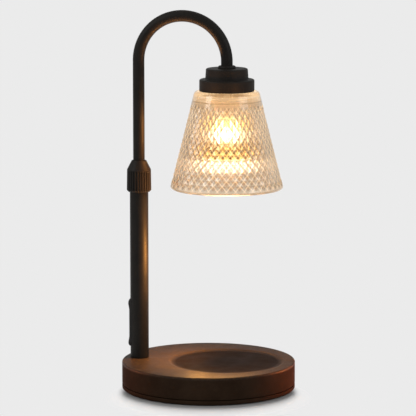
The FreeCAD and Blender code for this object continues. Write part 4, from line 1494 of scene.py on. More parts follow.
def dimple_tree() -> GeometryGraph:
    """Tree that presses rows of shallow dimples into the hollow side of a reflector.

    Returns:
        The tree.
    """
    sizes = ("Axis X", "Count", "Rows", "Depth", "Low", "High", "Greatest Facing")
    graph = GeometryGraph("reflector dimples", sizes)
    x, y, z = graph.position()
    x = x - graph.given("Axis X")
    low = graph.given("Low")
    row = ((z - low) / (graph.given("High") - low)).held() * graph.given("Rows")
    stagger = graph.math("MODULO", graph.math("FLOOR", row), 2.0) * 0.5
    column = graph.turn(x, y) * graph.given("Count") + 1000.5 + stagger
    bowl = 0.0
    for share in (column, row):
        off = graph.math("FRACT", share) - 0.5
        bowl = off * off * 2.0 + bowl
    nx, ny, _ = graph.split(graph.term("GeometryNodeInputNormal"))
    hollow = graph.math("LESS_THAN", nx * x + ny * y, graph.given("Greatest Facing"))
    inside = hollow * graph.math("GREATER_THAN", z, low)
    graph.press(x, y, bowl * graph.given("Depth") * inside)
    return graph


def diamond_tree() -> GeometryGraph:
    """Tree that covers a cone with cut diamonds and welds them to its shell.

    Returns:
        The tree.
    """
    sizes = ("Axis X", "Top", "Pitch", "Top Radius", "Slope", "Depth")
    graph = GeometryGraph("cut diamonds", sizes, Around="Int", Rows="Int", First="Int")
    around, index = graph.given("Around"), graph.index()
    lane = graph.math("FLOOR", (index + 0.5) / around)
    row = lane + graph.given("First")
    column = graph.math("MODULO", row, 2.0) * 0.5 + (index - lane * around)
    points = graph.term("GeometryNodePoints", Count=around * graph.given("Rows"))
    diamond = graph.term("GeometryNodeMeshCircle", fill_type="TRIANGLE_FAN", Vertices=4, Radius=1.0)
    spot = graph.term("GeometryNodeInputPosition")
    length = graph.chain("ShaderNodeVectorMath", spot, operation="LENGTH", output=1)
    marked = graph.term(
        "GeometryNodeStoreNamedAttribute",
        data_type="FLOAT",
        domain="POINT",
        Geometry=diamond,
        Name="peak",
        Value=graph.math("LESS_THAN", length, 0.5),
    )
    spread = graph.term(
        "GeometryNodeInstanceOnPoints",
        Points=graph.placed(points, graph.vector(column, row, 0.0)),
        Instance=marked,
        Scale=graph.vector(0.5, 1.0, 1.0),
    )
    real = graph.term("GeometryNodeRealizeInstances", Geometry=spread)
    across, down, _ = graph.position()
    peak = graph.term("GeometryNodeInputNamedAttribute", data_type="FLOAT", Name="peak")
    fall = down * graph.given("Pitch")
    radius = fall * graph.given("Slope") + graph.given("Top Radius")
    radius = radius - graph.given("Depth") * (1.0 - peak)
    angle = across * graph.math("DIVIDE", TURN, around)
    wrapped = graph.vector(
        graph.math("COSINE", angle) * radius + graph.given("Axis X"),
        graph.math("SINE", angle) * radius,
        graph.given("Top") - fall,
    )
    cone = graph.placed(real, wrapped)
    graph.close(graph.welded(0.03, cone, graph.given("Geometry")))
    return graph


# ---- shared hardware


def upright_cylinder(
    name: str, radius: float, low: float, high: float, place: Point = (0.0, 0.0)
) -> Object:
    """Makes a plain upright cylinder to cut with.

    Args:
        name: name of the cylinder.
        radius: its radius.
        low: height of its foot.
        high: height of its top.
        place: x and y of its axis.

    Returns:
        The cylinder.
    """
    shape = bmesh.new()
    spin(shape, [(0.0, low), (radius, low), (radius, high), (0.0, high)], place, 48)
    return mesh_object(name, shape)


def make_screw(foot: float, length: float) -> Object:
    """Makes a cross-recessed screw that stands head down.

    Args:
        foot: height of the head's face.
        length: length of the whole screw.

    Returns:
        The screw, on the Z axis.
    """
    shank, core, tip = 1.5, 1.15, foot + length
    outline = [(0.0, foot), (3.0, foot, 0.25), (3.0, foot + 1.2, 0.3)]
    outline += [(shank, foot + 1.6), (shank, foot + 2.4)]
    height = foot + 2.6
    while height < tip - 1.2:
        outline += [(shank, height), (core, height + 0.25), (shank, height + 0.5)]
        height += 0.7
    outline += [(1.1, tip - 0.6), (0.0, tip)]
    screw = turned("screw", outline, segments=32, steps=3, angle=25)
    slots = []
    for angle in (0.0, math.pi / 2):
        shape = bmesh.new()
        bmesh.ops.create_cube(shape, size=1.0, matrix=Matrix.Diagonal((3.2, 0.7, 2.0, 1.0)))
        for vert in shape.verts:
            if vert.co.z > 0:
                vert.co.x *= 0.45
                vert.co.y *= 0.7
        move = Matrix.Translation((0.0, 0.0, foot)) @ Matrix.Rotation(angle, 4, "Z")
        bmesh.ops.transform(shape, matrix=move, verts=shape.verts)
        slots.append(mesh_object("slot", shape))
    return combined(screw, slots, 25)


# ---- assemblies


@dataclass
class Assembly:
    """A group of pieces that is made and dressed together."""

    nodes: dict[str, Object]

    def keep(self, finish: Finish, *names: str) -> None:
        """Leaves nodes as they are and gives them a finish.

        Args:
            finish: the finish.
            names: the nodes.
        """
        for name in names:
            finish.dress(self.nodes[name])
            log.info("kept %s: %s", name, finish.name)

    def fit(self, obj: Object, body: Body, finish: Finish, *replaced: str) -> None:
        """Dresses a piece, puts it on its body and hides what it stands for.

        Args:
            obj: the piece, in place.
            body: the body that it rides on.
            finish: its finish.
            replaced: nodes that it stands for.
        """
        finish.dress(obj)
        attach(obj, body.value)
        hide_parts(*replaced)
        log.info("made %s: %d faces, %s", obj.name, len(obj.data.polygons), finish.name)

    def build(self) -> None:
        """Makes and dresses every piece of the assembly."""
        raise NotImplementedError


@dataclass
class BaseAssembly(Assembly):
    """Weighted foot: spun cover with the candle recess, plate, ring and screws."""

    radius: float = 75.0
    height: float = 24.0
    wall: float = 1.6
    roof: float = 22.0
    foot: float = 5.0
    edge: float = 1.1
    recess: float = 49.6
    recess_depth: float = 0.8
    inlet_height: float = 14.0
    inlet: float = 4.45
    stud: float = 5.05
    boss_circle: float = 50.0
    ring_inside: float = 60.0
    ring_outside: float = 72.0
    ring_seat: float = 2.0
    stand: float = 0.8
    play: float = 0.05
    segments: int = 224

    def build(self) -> None:
        """Makes the cover, plate, foot ring, inlet and screws."""
        self.make_cover()
        self.make_plate()
        self.make_foot_ring()
        inlet = refined(self.nodes["cord_grommet"], "inlet_bush", 0.35)
        self.fit(inlet, Body.BASE, RUBBER, "cord_grommet")
        self.make_screws()
        self.keep(IRON, "ballast_disc")

    def cover_rings(self) -> list[Triple]:
        """Lists the cover's rings from its inside to its recess.

        Returns:
            Radius, height and x of each ring.
        """
        outer, edge, roof, foot, top = self.radius, self.edge, self.roof, self.foot, self.height
        inner = outer - self.wall
        wall = [(radius, roof) for radius in (0.0, 30.0, 60.0, inner - 0.8)]
        wall += [(inner - 0.2, roof - 0.2), (inner, roof - 0.8), (inner, foot + 0.3)]
        wall += [(inner + 0.3, foot), (outer - 0.35, foot), (outer - 0.1, foot + 0.1)]
        wall += [(outer, height) for height in (foot + 0.35, 9.0, 14.0, 19.0, top - edge)]
        corner = (outer - edge, top - edge)
        wall += [polar(edge, math.radians(90 * step / 8), corner) for step in range(1, 9)]
        rings = [(*point, 0.0) for point in wall]
        lip = self.recess + 1.0
        for step in range(1, 6):
            share = step / 5
            rings.append((corner[0] * (1 - share) + lip * share, top, SHADE_X * share))
        for share in (0.12, 0.3, 0.5, 0.7, 0.88, 1.0):
            drop = self.recess_depth * (3 * share**2 - 2 * share**3)
            rings.append((lip - 3.2 * share, top - drop, SHADE_X))
        floor = top - self.recess_depth
        return rings + [(radius, floor, SHADE_X) for radius in (40.0, 28.0, 16.0, 6.0, 0.0)]

    def make_cover(self) -> None:
        """Makes the cover: wall, rounded edge, top and the off-centre recess."""
        shape = bmesh.new()
        rings = [
            add_ring(shape, radius, height, (x, 0.0), self.segments)
            for radius, height, x in self.cover_rings()
        ]
        bridge(shape, rings)
        cover = mesh_object("base_cover", shape, 30)
        inlet = upright_cylinder("inlet hole", self.inlet, -80.0, -68.0)
        lift = Matrix.Translation((0.0, 0.0, self.inlet_height * MM))
        inlet.data.transform(lift @ Matrix.Rotation(math.pi / 2, 4, "Y"))
        stud = upright_cylinder("stud hole", self.stud, 20.0, 26.0, (POLE_X, 0.0))
        self.fit(combined(cover, [inlet, stud], 30), Body.BASE, BASE_COAT, "base_shell")

    def make_plate(self) -> None:
        """Makes the bottom plate with the ring's seat, its rim and four sunk holes."""
        play, top, lip, lip_wall = self.play, 4.2, 6.4, 1.3
        rim = self.radius - self.wall - play
        outline = [
            (0.0, self.stand),
            (self.ring_inside - play, self.stand, 0.2),
            (self.ring_inside - play, self.ring_seat),
            (self.ring_outside + play, self.ring_seat),
            (self.ring_outside + play, self.stand, 0.2),
            (self.radius, self.stand, 0.6),
            (self.radius, top, 0.6),
            (rim, top),
            (rim, lip, 0.3),
            (rim - lip_wall, lip, 0.3),
            (rim - lip_wall, top),
            (0.0, top),
        ]
        plate = turned("base_plate", outline, segments=self.segments)
        cutters = []
        sunk, hole = (3.05, 2.4), (1.55, 6.0)
        for quarter in range(4):
            place = polar(self.boss_circle, math.radians(45 + 90 * quarter))
            for radius, depth in (sunk, hole):
                cutters.append(upright_cylinder("screw hole", radius, 0.0, depth, place))
        self.fit(combined(plate, cutters), Body.BASE, BASE_COAT, "bottom_plate")

    def make_foot_ring(self) -> None:
        """Makes the soft foot ring with two fine grooves in its sole."""
        inside, outside, seat = self.ring_inside, self.ring_outside, self.ring_seat
        outline = [(inside, seat), (inside, 0.0, 0.4)]
        for middle in (63.6, 68.4):
            for off, height in ((-0.9, 0.0), (-0.5, 0.5), (0.5, 0.5), (0.9, 0.0)):
                outline.append((middle + off, height, 0.15))
        outline += [(outside, 0.0, 0.4), (outside, seat)]
        ring = turned("foot_ring", outline, segments=self.segments, steps=3)
        self.fit(ring, Body.BASE, RUBBER, "foot_pad")

    def make_screws(self) -> None:
        """Repeats one cross-recessed screw on the four bosses."""
        screw = make_screw(self.stand, 12.0)
        ring = linked("base_screws", bpy.data.meshes.new("base_screws"))
        ring_tree().run(
            ring,
            SCREW_STEEL,
            Piece=screw,
            Count=4,
            Radius=self.boss_circle * MM,
            Centre=(0.0, 0.0, 0.0),
            First=math.radians(45),
        )
        discard(screw)
        self.fit(smooth(ring), Body.BASE, SCREW_STEEL, "bottom_screws")


@dataclass
class PoleAssembly(Assembly):
    """Lower pole with its slot, and what clamps it to the base."""

    radius: float = 8.0
    bore: float = 6.5
    foot: float = 24.0
    top: float = 172.0
    slot_half_width: float = 5.85
    slot_half_length: float = 22.0
    slot_height: float = 54.8

    def build(self) -> None:
        """Makes the pole and dresses its fastening."""
        radius, foot, top = self.radius, self.foot, self.top
        corners = [(self.bore, foot), (radius, foot, 0.35)]
        corners += [(radius, top, 0.35), (self.bore, top, 0.3)]
        outline = soften(corners, 4)
        low, high = outline[5][1], outline[6][1]
        rows = [(radius, foot + 4 + 8 * step) for step in range(18)]
        wall = [row for row in rows if low < row[1] < high]
        pole = turned("pole_tube", outline[:6] + wall + outline[6:], POLE_X, 128)
        self.fit(combined(pole, [self.make_slot()]), Body.BASE, COAT, "lower_pole")
        self.keep(ZINC, "pole_stud", "pole_washer", "pole_nut")

    def make_slot(self) -> Object:
        """Makes the cutter of the slot that the paddle sits in.

        Returns:
            The cutter.
        """
        shape = bmesh.new()
        straight = self.slot_half_length - self.slot_half_width
        end = (0.0, straight)
        rim = [polar(self.slot_half_width, math.pi * step / 64, end) for step in range(65)]
        rim += [(-y, -z) for y, z in rim]
        rings = [
            [shape.verts.new((POLE_X + x, y, self.slot_height + z)) for y, z in rim]
            for x in (-14.0, -3.0)
        ]
        bridge(shape, rings)
        for ring in rings:
            shape.faces.new(ring)
        return mesh_object("slot cutter", shape)


@dataclass
class LockAssembly(Assembly):
    """Twist lock: knurled nut, threaded ferrule and collet."""

    foot: float = 170.0
    top: float = 197.3
    cone: float = 189.3
    bore: float = 8.35
    mouth: float = 5.3
    skirt: float = 10.6
    taper: float = 0.25
    grip: float = 16.8
    nose: float = 193.5
    seat: float = 185.1
    flutes: int = 28
    flute_depth: float = 0.7

    def build(self) -> None:
        """Makes the knurled nut and dresses the lock inside it."""
        foot, top, bore, mouth = self.foot, self.top, self.bore, self.mouth
        corners = [
            (bore, foot, 0.2),
            (9.1, foot, 0.2),
            (self.skirt, foot + 1.5, 0.25),
            (self.skirt - self.taper, self.cone, 0.5),
            (6.3, top, 0.3),
            (mouth, top, 0.2),
            (mouth, self.nose),
            (5.75, self.nose),
            (7.3, self.seat),
            (bore, self.seat),
        ]
        outline = soften(corners, 4)
        low, rows = foot + 1.8, 24
        wall = [
            (self.skirt - self.taper * row / rows, low + self.grip * row / rows)
            for row in range(rows + 1)
        ]
        below = [point for point in outline if point[0] > 8.9 and point[1] < low]
        split = outline.index(below[-1]) + 1
        outline = outline[:split] + wall + outline[split:]
        nut = turned("knurled_nut", outline, POLE_X, self.flutes * 16, angle=20)
        flute_tree().run(
            nut,
            COAT,
            Axis_X=POLE_X * MM,
            Count=float(self.flutes),
            Depth=self.flute_depth * MM,
            Share=0.56,
            Low=(foot + 0.2) * MM,
            High=(self.cone - 0.5) * MM,
            Fade=0.8 * MM,
            Least_Radius=9.6 * MM,
        )
        self.fit(smooth(nut, 24), Body.LOCK_NUT, COAT, "lock_nut")
        self.keep(BRASS, "lock_body")
        self.keep(NYLON, "collet", "guide_bush")


@dataclass
class SwitchAssembly(Assembly):
    """Rocker switch: the long paddle, its module and pin."""

    back: float = -4.6
    half_width: float = 5.35
    half_length: float = 21.5
    height: float = 54.8
    middle: float = 8.2
    peak: float = 9.1
    end: float = 8.1
    lobe: float = 3.0
    flank: float = 5.5
    edge: float = 1.0
    around: int = 96
    side: int = 8

    def face(self, up: float) -> float:
        """Measures how far the paddle's face stands from the pole's axis.

        Args:
            up: height above the paddle's middle.

        Returns:
            The distance.
        """
        off = abs(up)
        top = self.half_length - self.lobe
        if off >= top:
            return self.peak - (self.peak - self.end) * ((off - top) / self.lobe) ** 2
        if off >= top - self.flank:
            return self.peak - (self.peak - self.middle) * ((top - off) / self.flank) ** 2
        return self.middle

    def outline(self, inset: float) -> list[Point]:
        """Draws the paddle's outline.

        Args:
            inset: how far it is drawn in.

        Returns:
            The y and z of its points, round from the right.
        """
        radius = max(self.half_width - inset, 0.02)
        straight = self.half_length - self.half_width
        arc = self.around // 2 - self.side
        points = [(radius, straight * (2 * step / self.side - 1)) for step in range(self.side)]
        points += [polar(radius, math.pi * step / arc, (0.0, straight)) for step in range(arc)]
        return points + [(-y, -z) for y, z in points]

    def build(self) -> None:
        """Makes the paddle as rings that step inwards over its rounded edge."""
        shape = bmesh.new()
        back, edge = -self.back, self.edge
        rings = [
            self.add_ring(shape, inset, [level] * self.around)
            for level, inset in ((back, 0.5), (back, 0.2), (back + 0.3, 0.0))
        ]
        insets = [edge * (1 - math.cos(math.radians(angle))) for angle in (0, 22, 45, 67, 90)]
        for inset in insets + [1.6, 2.4, 3.3, 4.2, 4.9]:
            drop = edge - math.sqrt(max(edge**2 - max(edge - inset, 0.0) ** 2, 0.0))
            levels = [max(self.face(z) - drop, back + 0.4) for _, z in self.outline(inset)]
            rings.append(self.add_ring(shape, inset, levels))
        bridge(shape, rings)
        for ring in (rings[0], rings[-1]):
            self.close(shape, ring)
        paddle = combined(mesh_object("switch_paddle", shape, 30), [self.make_lug()], 30, "UNION")
        self.fit(paddle, Body.ROCKER, PLASTIC, "switch_rocker")
        self.keep(PLASTIC, "switch_module")
        self.keep(ZINC, "rocker_pin")

    def add_ring(self, shape: Shape, inset: float, levels: Sequence[float]) -> Ring:
        """Adds a ring of the paddle, each point at its own distance from the axis."""
        spots = zip(self.outline(inset), levels)
        return [shape.verts.new((POLE_X - level, y, self.height + z)) for (y, z), level in spots]

    def close(self, shape: Shape, ring: Ring) -> None:
        """Closes a ring with rungs across the paddle.

        Args:
            shape: bmesh that the faces go into.
            ring: the ring.
        """
        half = self.around // 2
        top = self.side + (half - self.side) // 2
        chain = [(ring[top - step], ring[(top + step) % self.around]) for step in range(half + 1)]
        for (right, left), (lower_right, lower_left) in zip(chain, chain[1:]):
            shape.faces.new(list(dict.fromkeys([right, left, lower_left, lower_right])))

    def make_lug(self) -> Object:
        """Copies the pivot lug of the rocker, cut away from its plate.

        Returns:
            The lug.
        """
        lug = refined(self.nodes["switch_rocker"], "pivot lug", 0.0)
        shape = bmesh.new()
        shape.from_mesh(lug.data)
        bmesh.ops.bisect_plane(
            shape,
            geom=[*shape.verts, *shape.edges, *shape.faces],
            plane_co=((POLE_X + self.back - 0.3) * MM, 0.0, 0.0),
            plane_no=(1.0, 0.0, 0.0),
            clear_inner=True,
        )
        bmesh.ops.holes_fill(shape, edges=[edge for edge in shape.edges if edge.is_boundary])
        bmesh.ops.recalc_face_normals(shape, faces=shape.faces)
        shape.to_mesh(lug.data)
        shape.free()
        return lug


@dataclass
class ArmAssembly(Assembly):
    """Gooseneck tube, its collar and the stepped cap."""

    tube: float = 5.0
    play: float = 0.05
    wall: float = 1.0
    tail: float = 141.7
    bend_height: float = 284.0
    bend_radius: float = 38.75
    tip: float = 270.0
    cap_foot: float = 259.3
    cap_step: float = 269.3
    cap_top: float = 278.6
    skirt: float = 23.6
    waist: float = 18.5
    crown: float = 17.9
    collar: float = 7.7
    collar_top: float = 281.0

    def build(self) -> None:
        """Makes the tube, the collar and the cap, and dresses what is inside."""
        tube = linked("gooseneck", bpy.data.meshes.new("gooseneck"))
        bent_tube_tree().run(
            tube,
            COAT,
            Foot=self.tail * MM,
            Bend_Height=self.bend_height * MM,
            Bend_Radius=self.bend_radius * MM,
            Tip=self.tip * MM,
            Radius=self.tube * MM,
            Wall=self.wall * MM,
            Start=(POLE_X * MM, 0.0, 0.0),
        )
        self.fit(smooth(tube, 40), Body.ARM, COAT, "arm_tube")
        bore, wall, foot = self.tube + self.play, self.wall, self.cap_foot
        step, top, out, rim = self.cap_step, self.cap_top, self.collar, self.collar_top
        collar = [(bore, top), (out, top, 0.25), (out, rim, 1.6), (bore, rim, 0.3)]
        self.fit(turned("cap_collar", collar, SHADE_X, 96, 8), Body.ARM, COAT, "cap_ring")
        cap = [
            (bore, top),
            (bore, top - wall),
            (self.crown - wall, top - wall, 0.8),
            (self.waist - wall, step - wall, 0.8),
            (self.skirt - wall, step - wall, 0.8),
            (self.skirt - wall, foot, 0.3),
            (self.skirt, foot, 0.35),
            (self.skirt, step, 1.3),
            (self.waist, step, 0.6),
            (self.crown, top, 1.3),
        ]
        self.fit(turned("stepped_cap", cap, SHADE_X, 192, 8), Body.ARM, COAT, "shade_cap")
        self.keep(ZINC, "tube_nut", "cap_spacer", "bush_clips")
        self.keep(SCREW_STEEL, "holder_screws")


@dataclass
class ShadeAssembly(Assembly):
    """Cut glass shade and what carries it under the cap."""

    around: int = 39
    rows: int = 15
    first: int = 2
    top: float = 251.6
    pitch: float = 4.28
    glass_top: float = 259.3
    glass_foot: float = 175.0
    top_radius: float = 27.6
    foot_radius: float = 48.9
    wall: float = 3.0
    hole: float = 17.3
    roof: float = 255.3
    depth: float = 0.85
    land: float = 0.55
    margin: float = 0.35
    run_out: float = 0.22
    line: float = 251.1
    line_depth: float = 0.3

    @property
    def slope(self) -> float:
        """How much the cone widens for each millimetre down."""
        return (self.foot_radius - self.top_radius) / (self.glass_top - self.glass_foot)

    def cone(self, height: float) -> float:
        """Radius of the cone at a height."""
        return self.top_radius + self.slope * (self.glass_top - height)

    def row_height(self, row: float) -> float:
        """Height of a half row, counted down from the top of the diamonds."""
        return self.top - row * self.pitch

    def spot(self, shape: Shape, u: float, row: float, sunk: bool = False) -> bmesh.types.BMVert:
        """Adds a point of the cone.

        Args:
            shape: bmesh that it goes into.
            u: place round the cone, in diamonds.
            row: place down the cone, in half rows.
            sunk: whether it lies at the bottom of a groove.

        Returns:
            The new vertex.
        """
        height = self.row_height(row)
        radius = self.cone(height) - (self.depth if sunk else 0.0)
        place = polar(radius, TURN * u / self.around, (SHADE_X, 0.0))
        return shape.verts.new((*place, height))

    def zigzag(self, shape: Shape, edge: int, down: int) -> None:
        """Adds the smooth tongues between the last diamonds and a straight ring.

        Args:
            shape: bmesh that it goes into.
            edge: half row that the tips of the diamonds end on.
            down: 1 if the diamonds lie below it, -1 if above.
        """
        half = math.pi * self.cone(self.row_height(edge)) / self.around
        side = math.hypot(half, self.pitch)
        inset = self.land * side / self.pitch / (2 * half)
        point = self.land * side / half / self.pitch
        flat, run_out = edge - down * self.margin, edge - down * self.run_out
        for u in range(self.around):
            ring = [self.spot(shape, u + step / 4, flat) for step in range(5)]
            left, right = self.spot(shape, u, edge, True), self.spot(shape, u + 1, edge, True)
            deep = self.spot(shape, u + 0.5, edge + down, True)
            tongue = self.spot(shape, u + 0.5, edge + down * (1 - point))
            near, far = self.spot(shape, u + inset, edge), self.spot(shape, u + 1 - inset, edge)
            start, stop = self.spot(shape, u, run_out), self.spot(shape, u + 1, run_out)
            for corners in (
                (ring[0], start, near, ring[1]),
                (ring[1], near, tongue, ring[2]),
                (ring[2], tongue, far, ring[3]),
                (ring[3], far, stop, ring[4]),
                (left, deep, tongue, near),
                (deep, right, far, tongue),
                (left, near, start),
                (right, stop, far),
            ):
                shape.faces.new(corners)

    def make_shell(self) -> Object:
        """Makes the smooth shell, with a gap in its skin where the diamonds go.

        Returns:
            The shell.
        """
        corners = [
            (self.hole, self.glass_top, 0.3),
            (self.hole, self.roof, 0.3),
            (self.cone(self.roof) - self.wall, self.roof, 2.4),
            (self.foot_radius - self.wall, self.glass_foot, 0.9),
            (self.foot_radius, self.glass_foot, 2.0),
            (self.top_radius, self.glass_top, 3.2),
        ]
        outline = soften(corners, 8)
        inner = next(index for index, point in enumerate(outline) if point[1] < 200.0)
        heights = (self.roof - 4.0 - 74.0 * step / 16 for step in range(1, 16))
        outline[inner:inner] = [(self.cone(height) - self.wall, height) for height in heights]
        tips = self.first - 1, self.first + self.rows
        outer = max(index for index, point in enumerate(outline) if point[1] < 180.0) + 1
        edges = [
            (self.row_height(tips[1] + self.margin), 0.0),
            (self.row_height(tips[0] - self.margin), 0.0),
            (self.line - 0.35, 0.0),
            (self.line, self.line_depth),
            (self.line + 0.35, 0.0),
        ]
        outline[outer:outer] = [(self.cone(height) - sunk, height) for height, sunk in edges]
        shape = bmesh.new()
        spin(shape, outline, (SHADE_X, 0.0), self.around * 4, outer)
        self.zigzag(shape, tips[0], 1)
        self.zigzag(shape, tips[1], -1)
        return mesh_object("cut_glass", shape, 9)

    def build(self) -> None:
        """Makes the glass, the cup that holds it and the ring below it."""
        glass = diamond_tree().run(
            self.make_shell(),
            CUT_GLASS,
            Around=self.around,
            Rows=self.rows,
            First=self.first,
            Axis_X=SHADE_X * MM,
            Top=self.top * MM,
            Pitch=self.pitch * MM,
            Top_Radius=self.cone(self.top) * MM,
            Slope=self.slope,
            Depth=self.depth * MM,
        )
        self.fit(smooth(outward(glass), 9), Body.ARM, CUT_GLASS, "glass_shade")
        bore, cup, low, high, sheet = 5.05, 16.8, 251.3, 275.4, 1.0
        profile = [
            (bore, high),
            (bore, high - sheet),
            (cup - sheet, high - sheet, 0.6),
            (cup - sheet, low, 0.25),
            (cup, low, 0.3),
            (cup, high, 0.9),
        ]
        self.fit(turned("gallery", profile, SHADE_X, 144), Body.ARM, LAMP_LIT_ZINC, "gallery_cup")
        inside, outside = 16.85, 21.5
        ring = [
            (inside, low, 0.2),
            (outside - 0.6, low, 0.6),
            (outside, low + 1.1, 0.4),
            (outside, self.roof, 0.5),
            (inside, self.roof, 0.2),
        ]
        self.fit(turned("gallery_ring", ring, SHADE_X, 144), Body.ARM, LAMP_LIT_ZINC, "shade_ring")


@dataclass
class LampAssembly(Assembly):
    """Lampholder and the lit reflector lamp."""

    rim: float = 25.0
    foot: float = 200.5
    shoulder: float = 206.0
    neck: float = 12.0
    neck_height: float = 234.0
    wall: float = 1.2

    def curve(self, steps: int, offset: float) -> list[Point]:
        """Draws the reflector's curve from shoulder to neck.

        Args:
            steps: straight pieces that make it up.
            offset: how far it is drawn in.

        Returns:
            Its points.
        """
        rise, draw = self.neck_height - self.shoulder, self.rim - self.neck
        radius = (rise**2 + draw**2) / (2 * draw)
        points = []
        for step in range(steps + 1):
            up = rise * step / steps
            out = self.rim - radius + math.sqrt(radius**2 - up**2) - offset
            points.append((out, self.shoulder + up))
        return points

    def build(self) -> None:
        """Makes the reflector, front glass and burner, and refines the holder."""
        foot, neck = self.foot, self.neck_height
        corners = [(self.rim - self.wall, foot, 0.4), (self.rim, foot, 0.5)]
        corners += self.curve(36, 0.0) + self.curve(36, self.wall)[::-1]
        mirror = turned("reflector", corners, SHADE_X, 216, 4, 40)
        dimple_tree().run(
            mirror,
            SILVERED,
            Axis_X=SHADE_X * MM,
            Count=36.0,
            Rows=6.0,
            Depth=0.35 * MM,
            Low=(self.shoulder + 0.2) * MM,
            High=(neck - 0.5) * MM,
            Greatest_Facing=0.0,
        )
        self.fit(smooth(mirror, 12), Body.LAMP, SILVERED, "lamp_reflector")
        low, lens = foot + 0.6, self.rim - self.wall - 0.1
        glass = [
            (0.0, low),
            (lens, low, 0.3),
            (lens, low + 1.6, 0.3),
            (21.0, low + 1.6, 0.2),
            (20.4, low + 1.2, 0.2),
            (0.0, low + 1.2),
        ]
        self.fit(turned("front_glass", glass, SHADE_X, 120), Body.LAMP, LENS, "lamp_lens")
        tip = neck - 18.0
        burner = [
            (0.0, tip),
            (1.2, tip, 0.5),
            (1.6, tip + 1.0, 0.6),
            (4.4, tip + 2.8, 1.8),
            (4.4, tip + 12.0, 1.2),
            (3.4, tip + 14.0, 0.8),
            (3.4, neck),
            (0.0, neck),
        ]
        self.fit(turned("burner", burner, SHADE_X, 64, 8), Body.LAMP, BURNER, "lamp_capsule")
        for node, name, finish, bevel, body in (
            ("lampholder", "holder_body", PORCELAIN, 0.4, Body.ARM),
            ("lampholder_face", "holder_face", PORCELAIN, 0.25, Body.ARM),
            ("lamp_base", "ceramic_base", PORCELAIN, 0.4, Body.LAMP),
            ("lamp_pins", "contact_pins", NICKEL, 0.2, Body.LAMP),
        ):
            self.fit(refined(self.nodes[node], name, bevel), body, finish, node)


# ---- studio


WHITE: Triple = (1.0, 0.985, 0.965)
AMBER: Triple = (1.0, 0.46, 0.11)
DEEP_AMBER: Triple = (1.0, 0.4, 0.1)
MIDDLE: Triple = (0.0, 0.0, 150.0)


@dataclass(frozen=True)
class Light:
    """A lamp of the studio, or one that stands for the warm lamp's own glow."""

    name: str
    place: Triple
    aim: Triple
    power: float
    colour: Triple
    size: float
    kind: str = "AREA"

    def build(self, receivers: Collection | None = None, body: Body | None = None) -> Object:
        """Adds the light.

        Args:
            receivers: what it lights, if not everything.
            body: the body that it moves with, if any. It is then not seen itself.

        Returns:
            The light.
        """
        data = bpy.data.lights.new(self.name, self.kind)
        data.energy, data.color = self.power, self.colour
        if self.kind == "AREA":
            data.shape, data.size = "DISK", self.size * MM
        else:
            data.shadow_soft_size = self.size * MM
        lamp = linked(self.name, data)
        here = Vector(self.place) * MM
        towards = (Vector(self.aim) * MM - here).to_track_quat("-Z", "Y")
        lamp.matrix_world = Matrix.Translation(here) @ towards.to_matrix().to_4x4()
        if receivers is not None:
            lamp.light_linking.receiver_collection = receivers
        if body is not None:
            lamp.visible_camera = lamp.visible_transmission = False
            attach(lamp, body.value)
        return lamp


def group(name: str, *names: str) -> Collection:
    """Makes a collection of objects that a light is linked to.

    Args:
        name: name of the collection.
        names: the objects.

    Returns:
        The collection.
    """
    made = bpy.data.collections.new(name)
    for obj in names:
        made.objects.link(bpy.data.objects[obj])
    return made


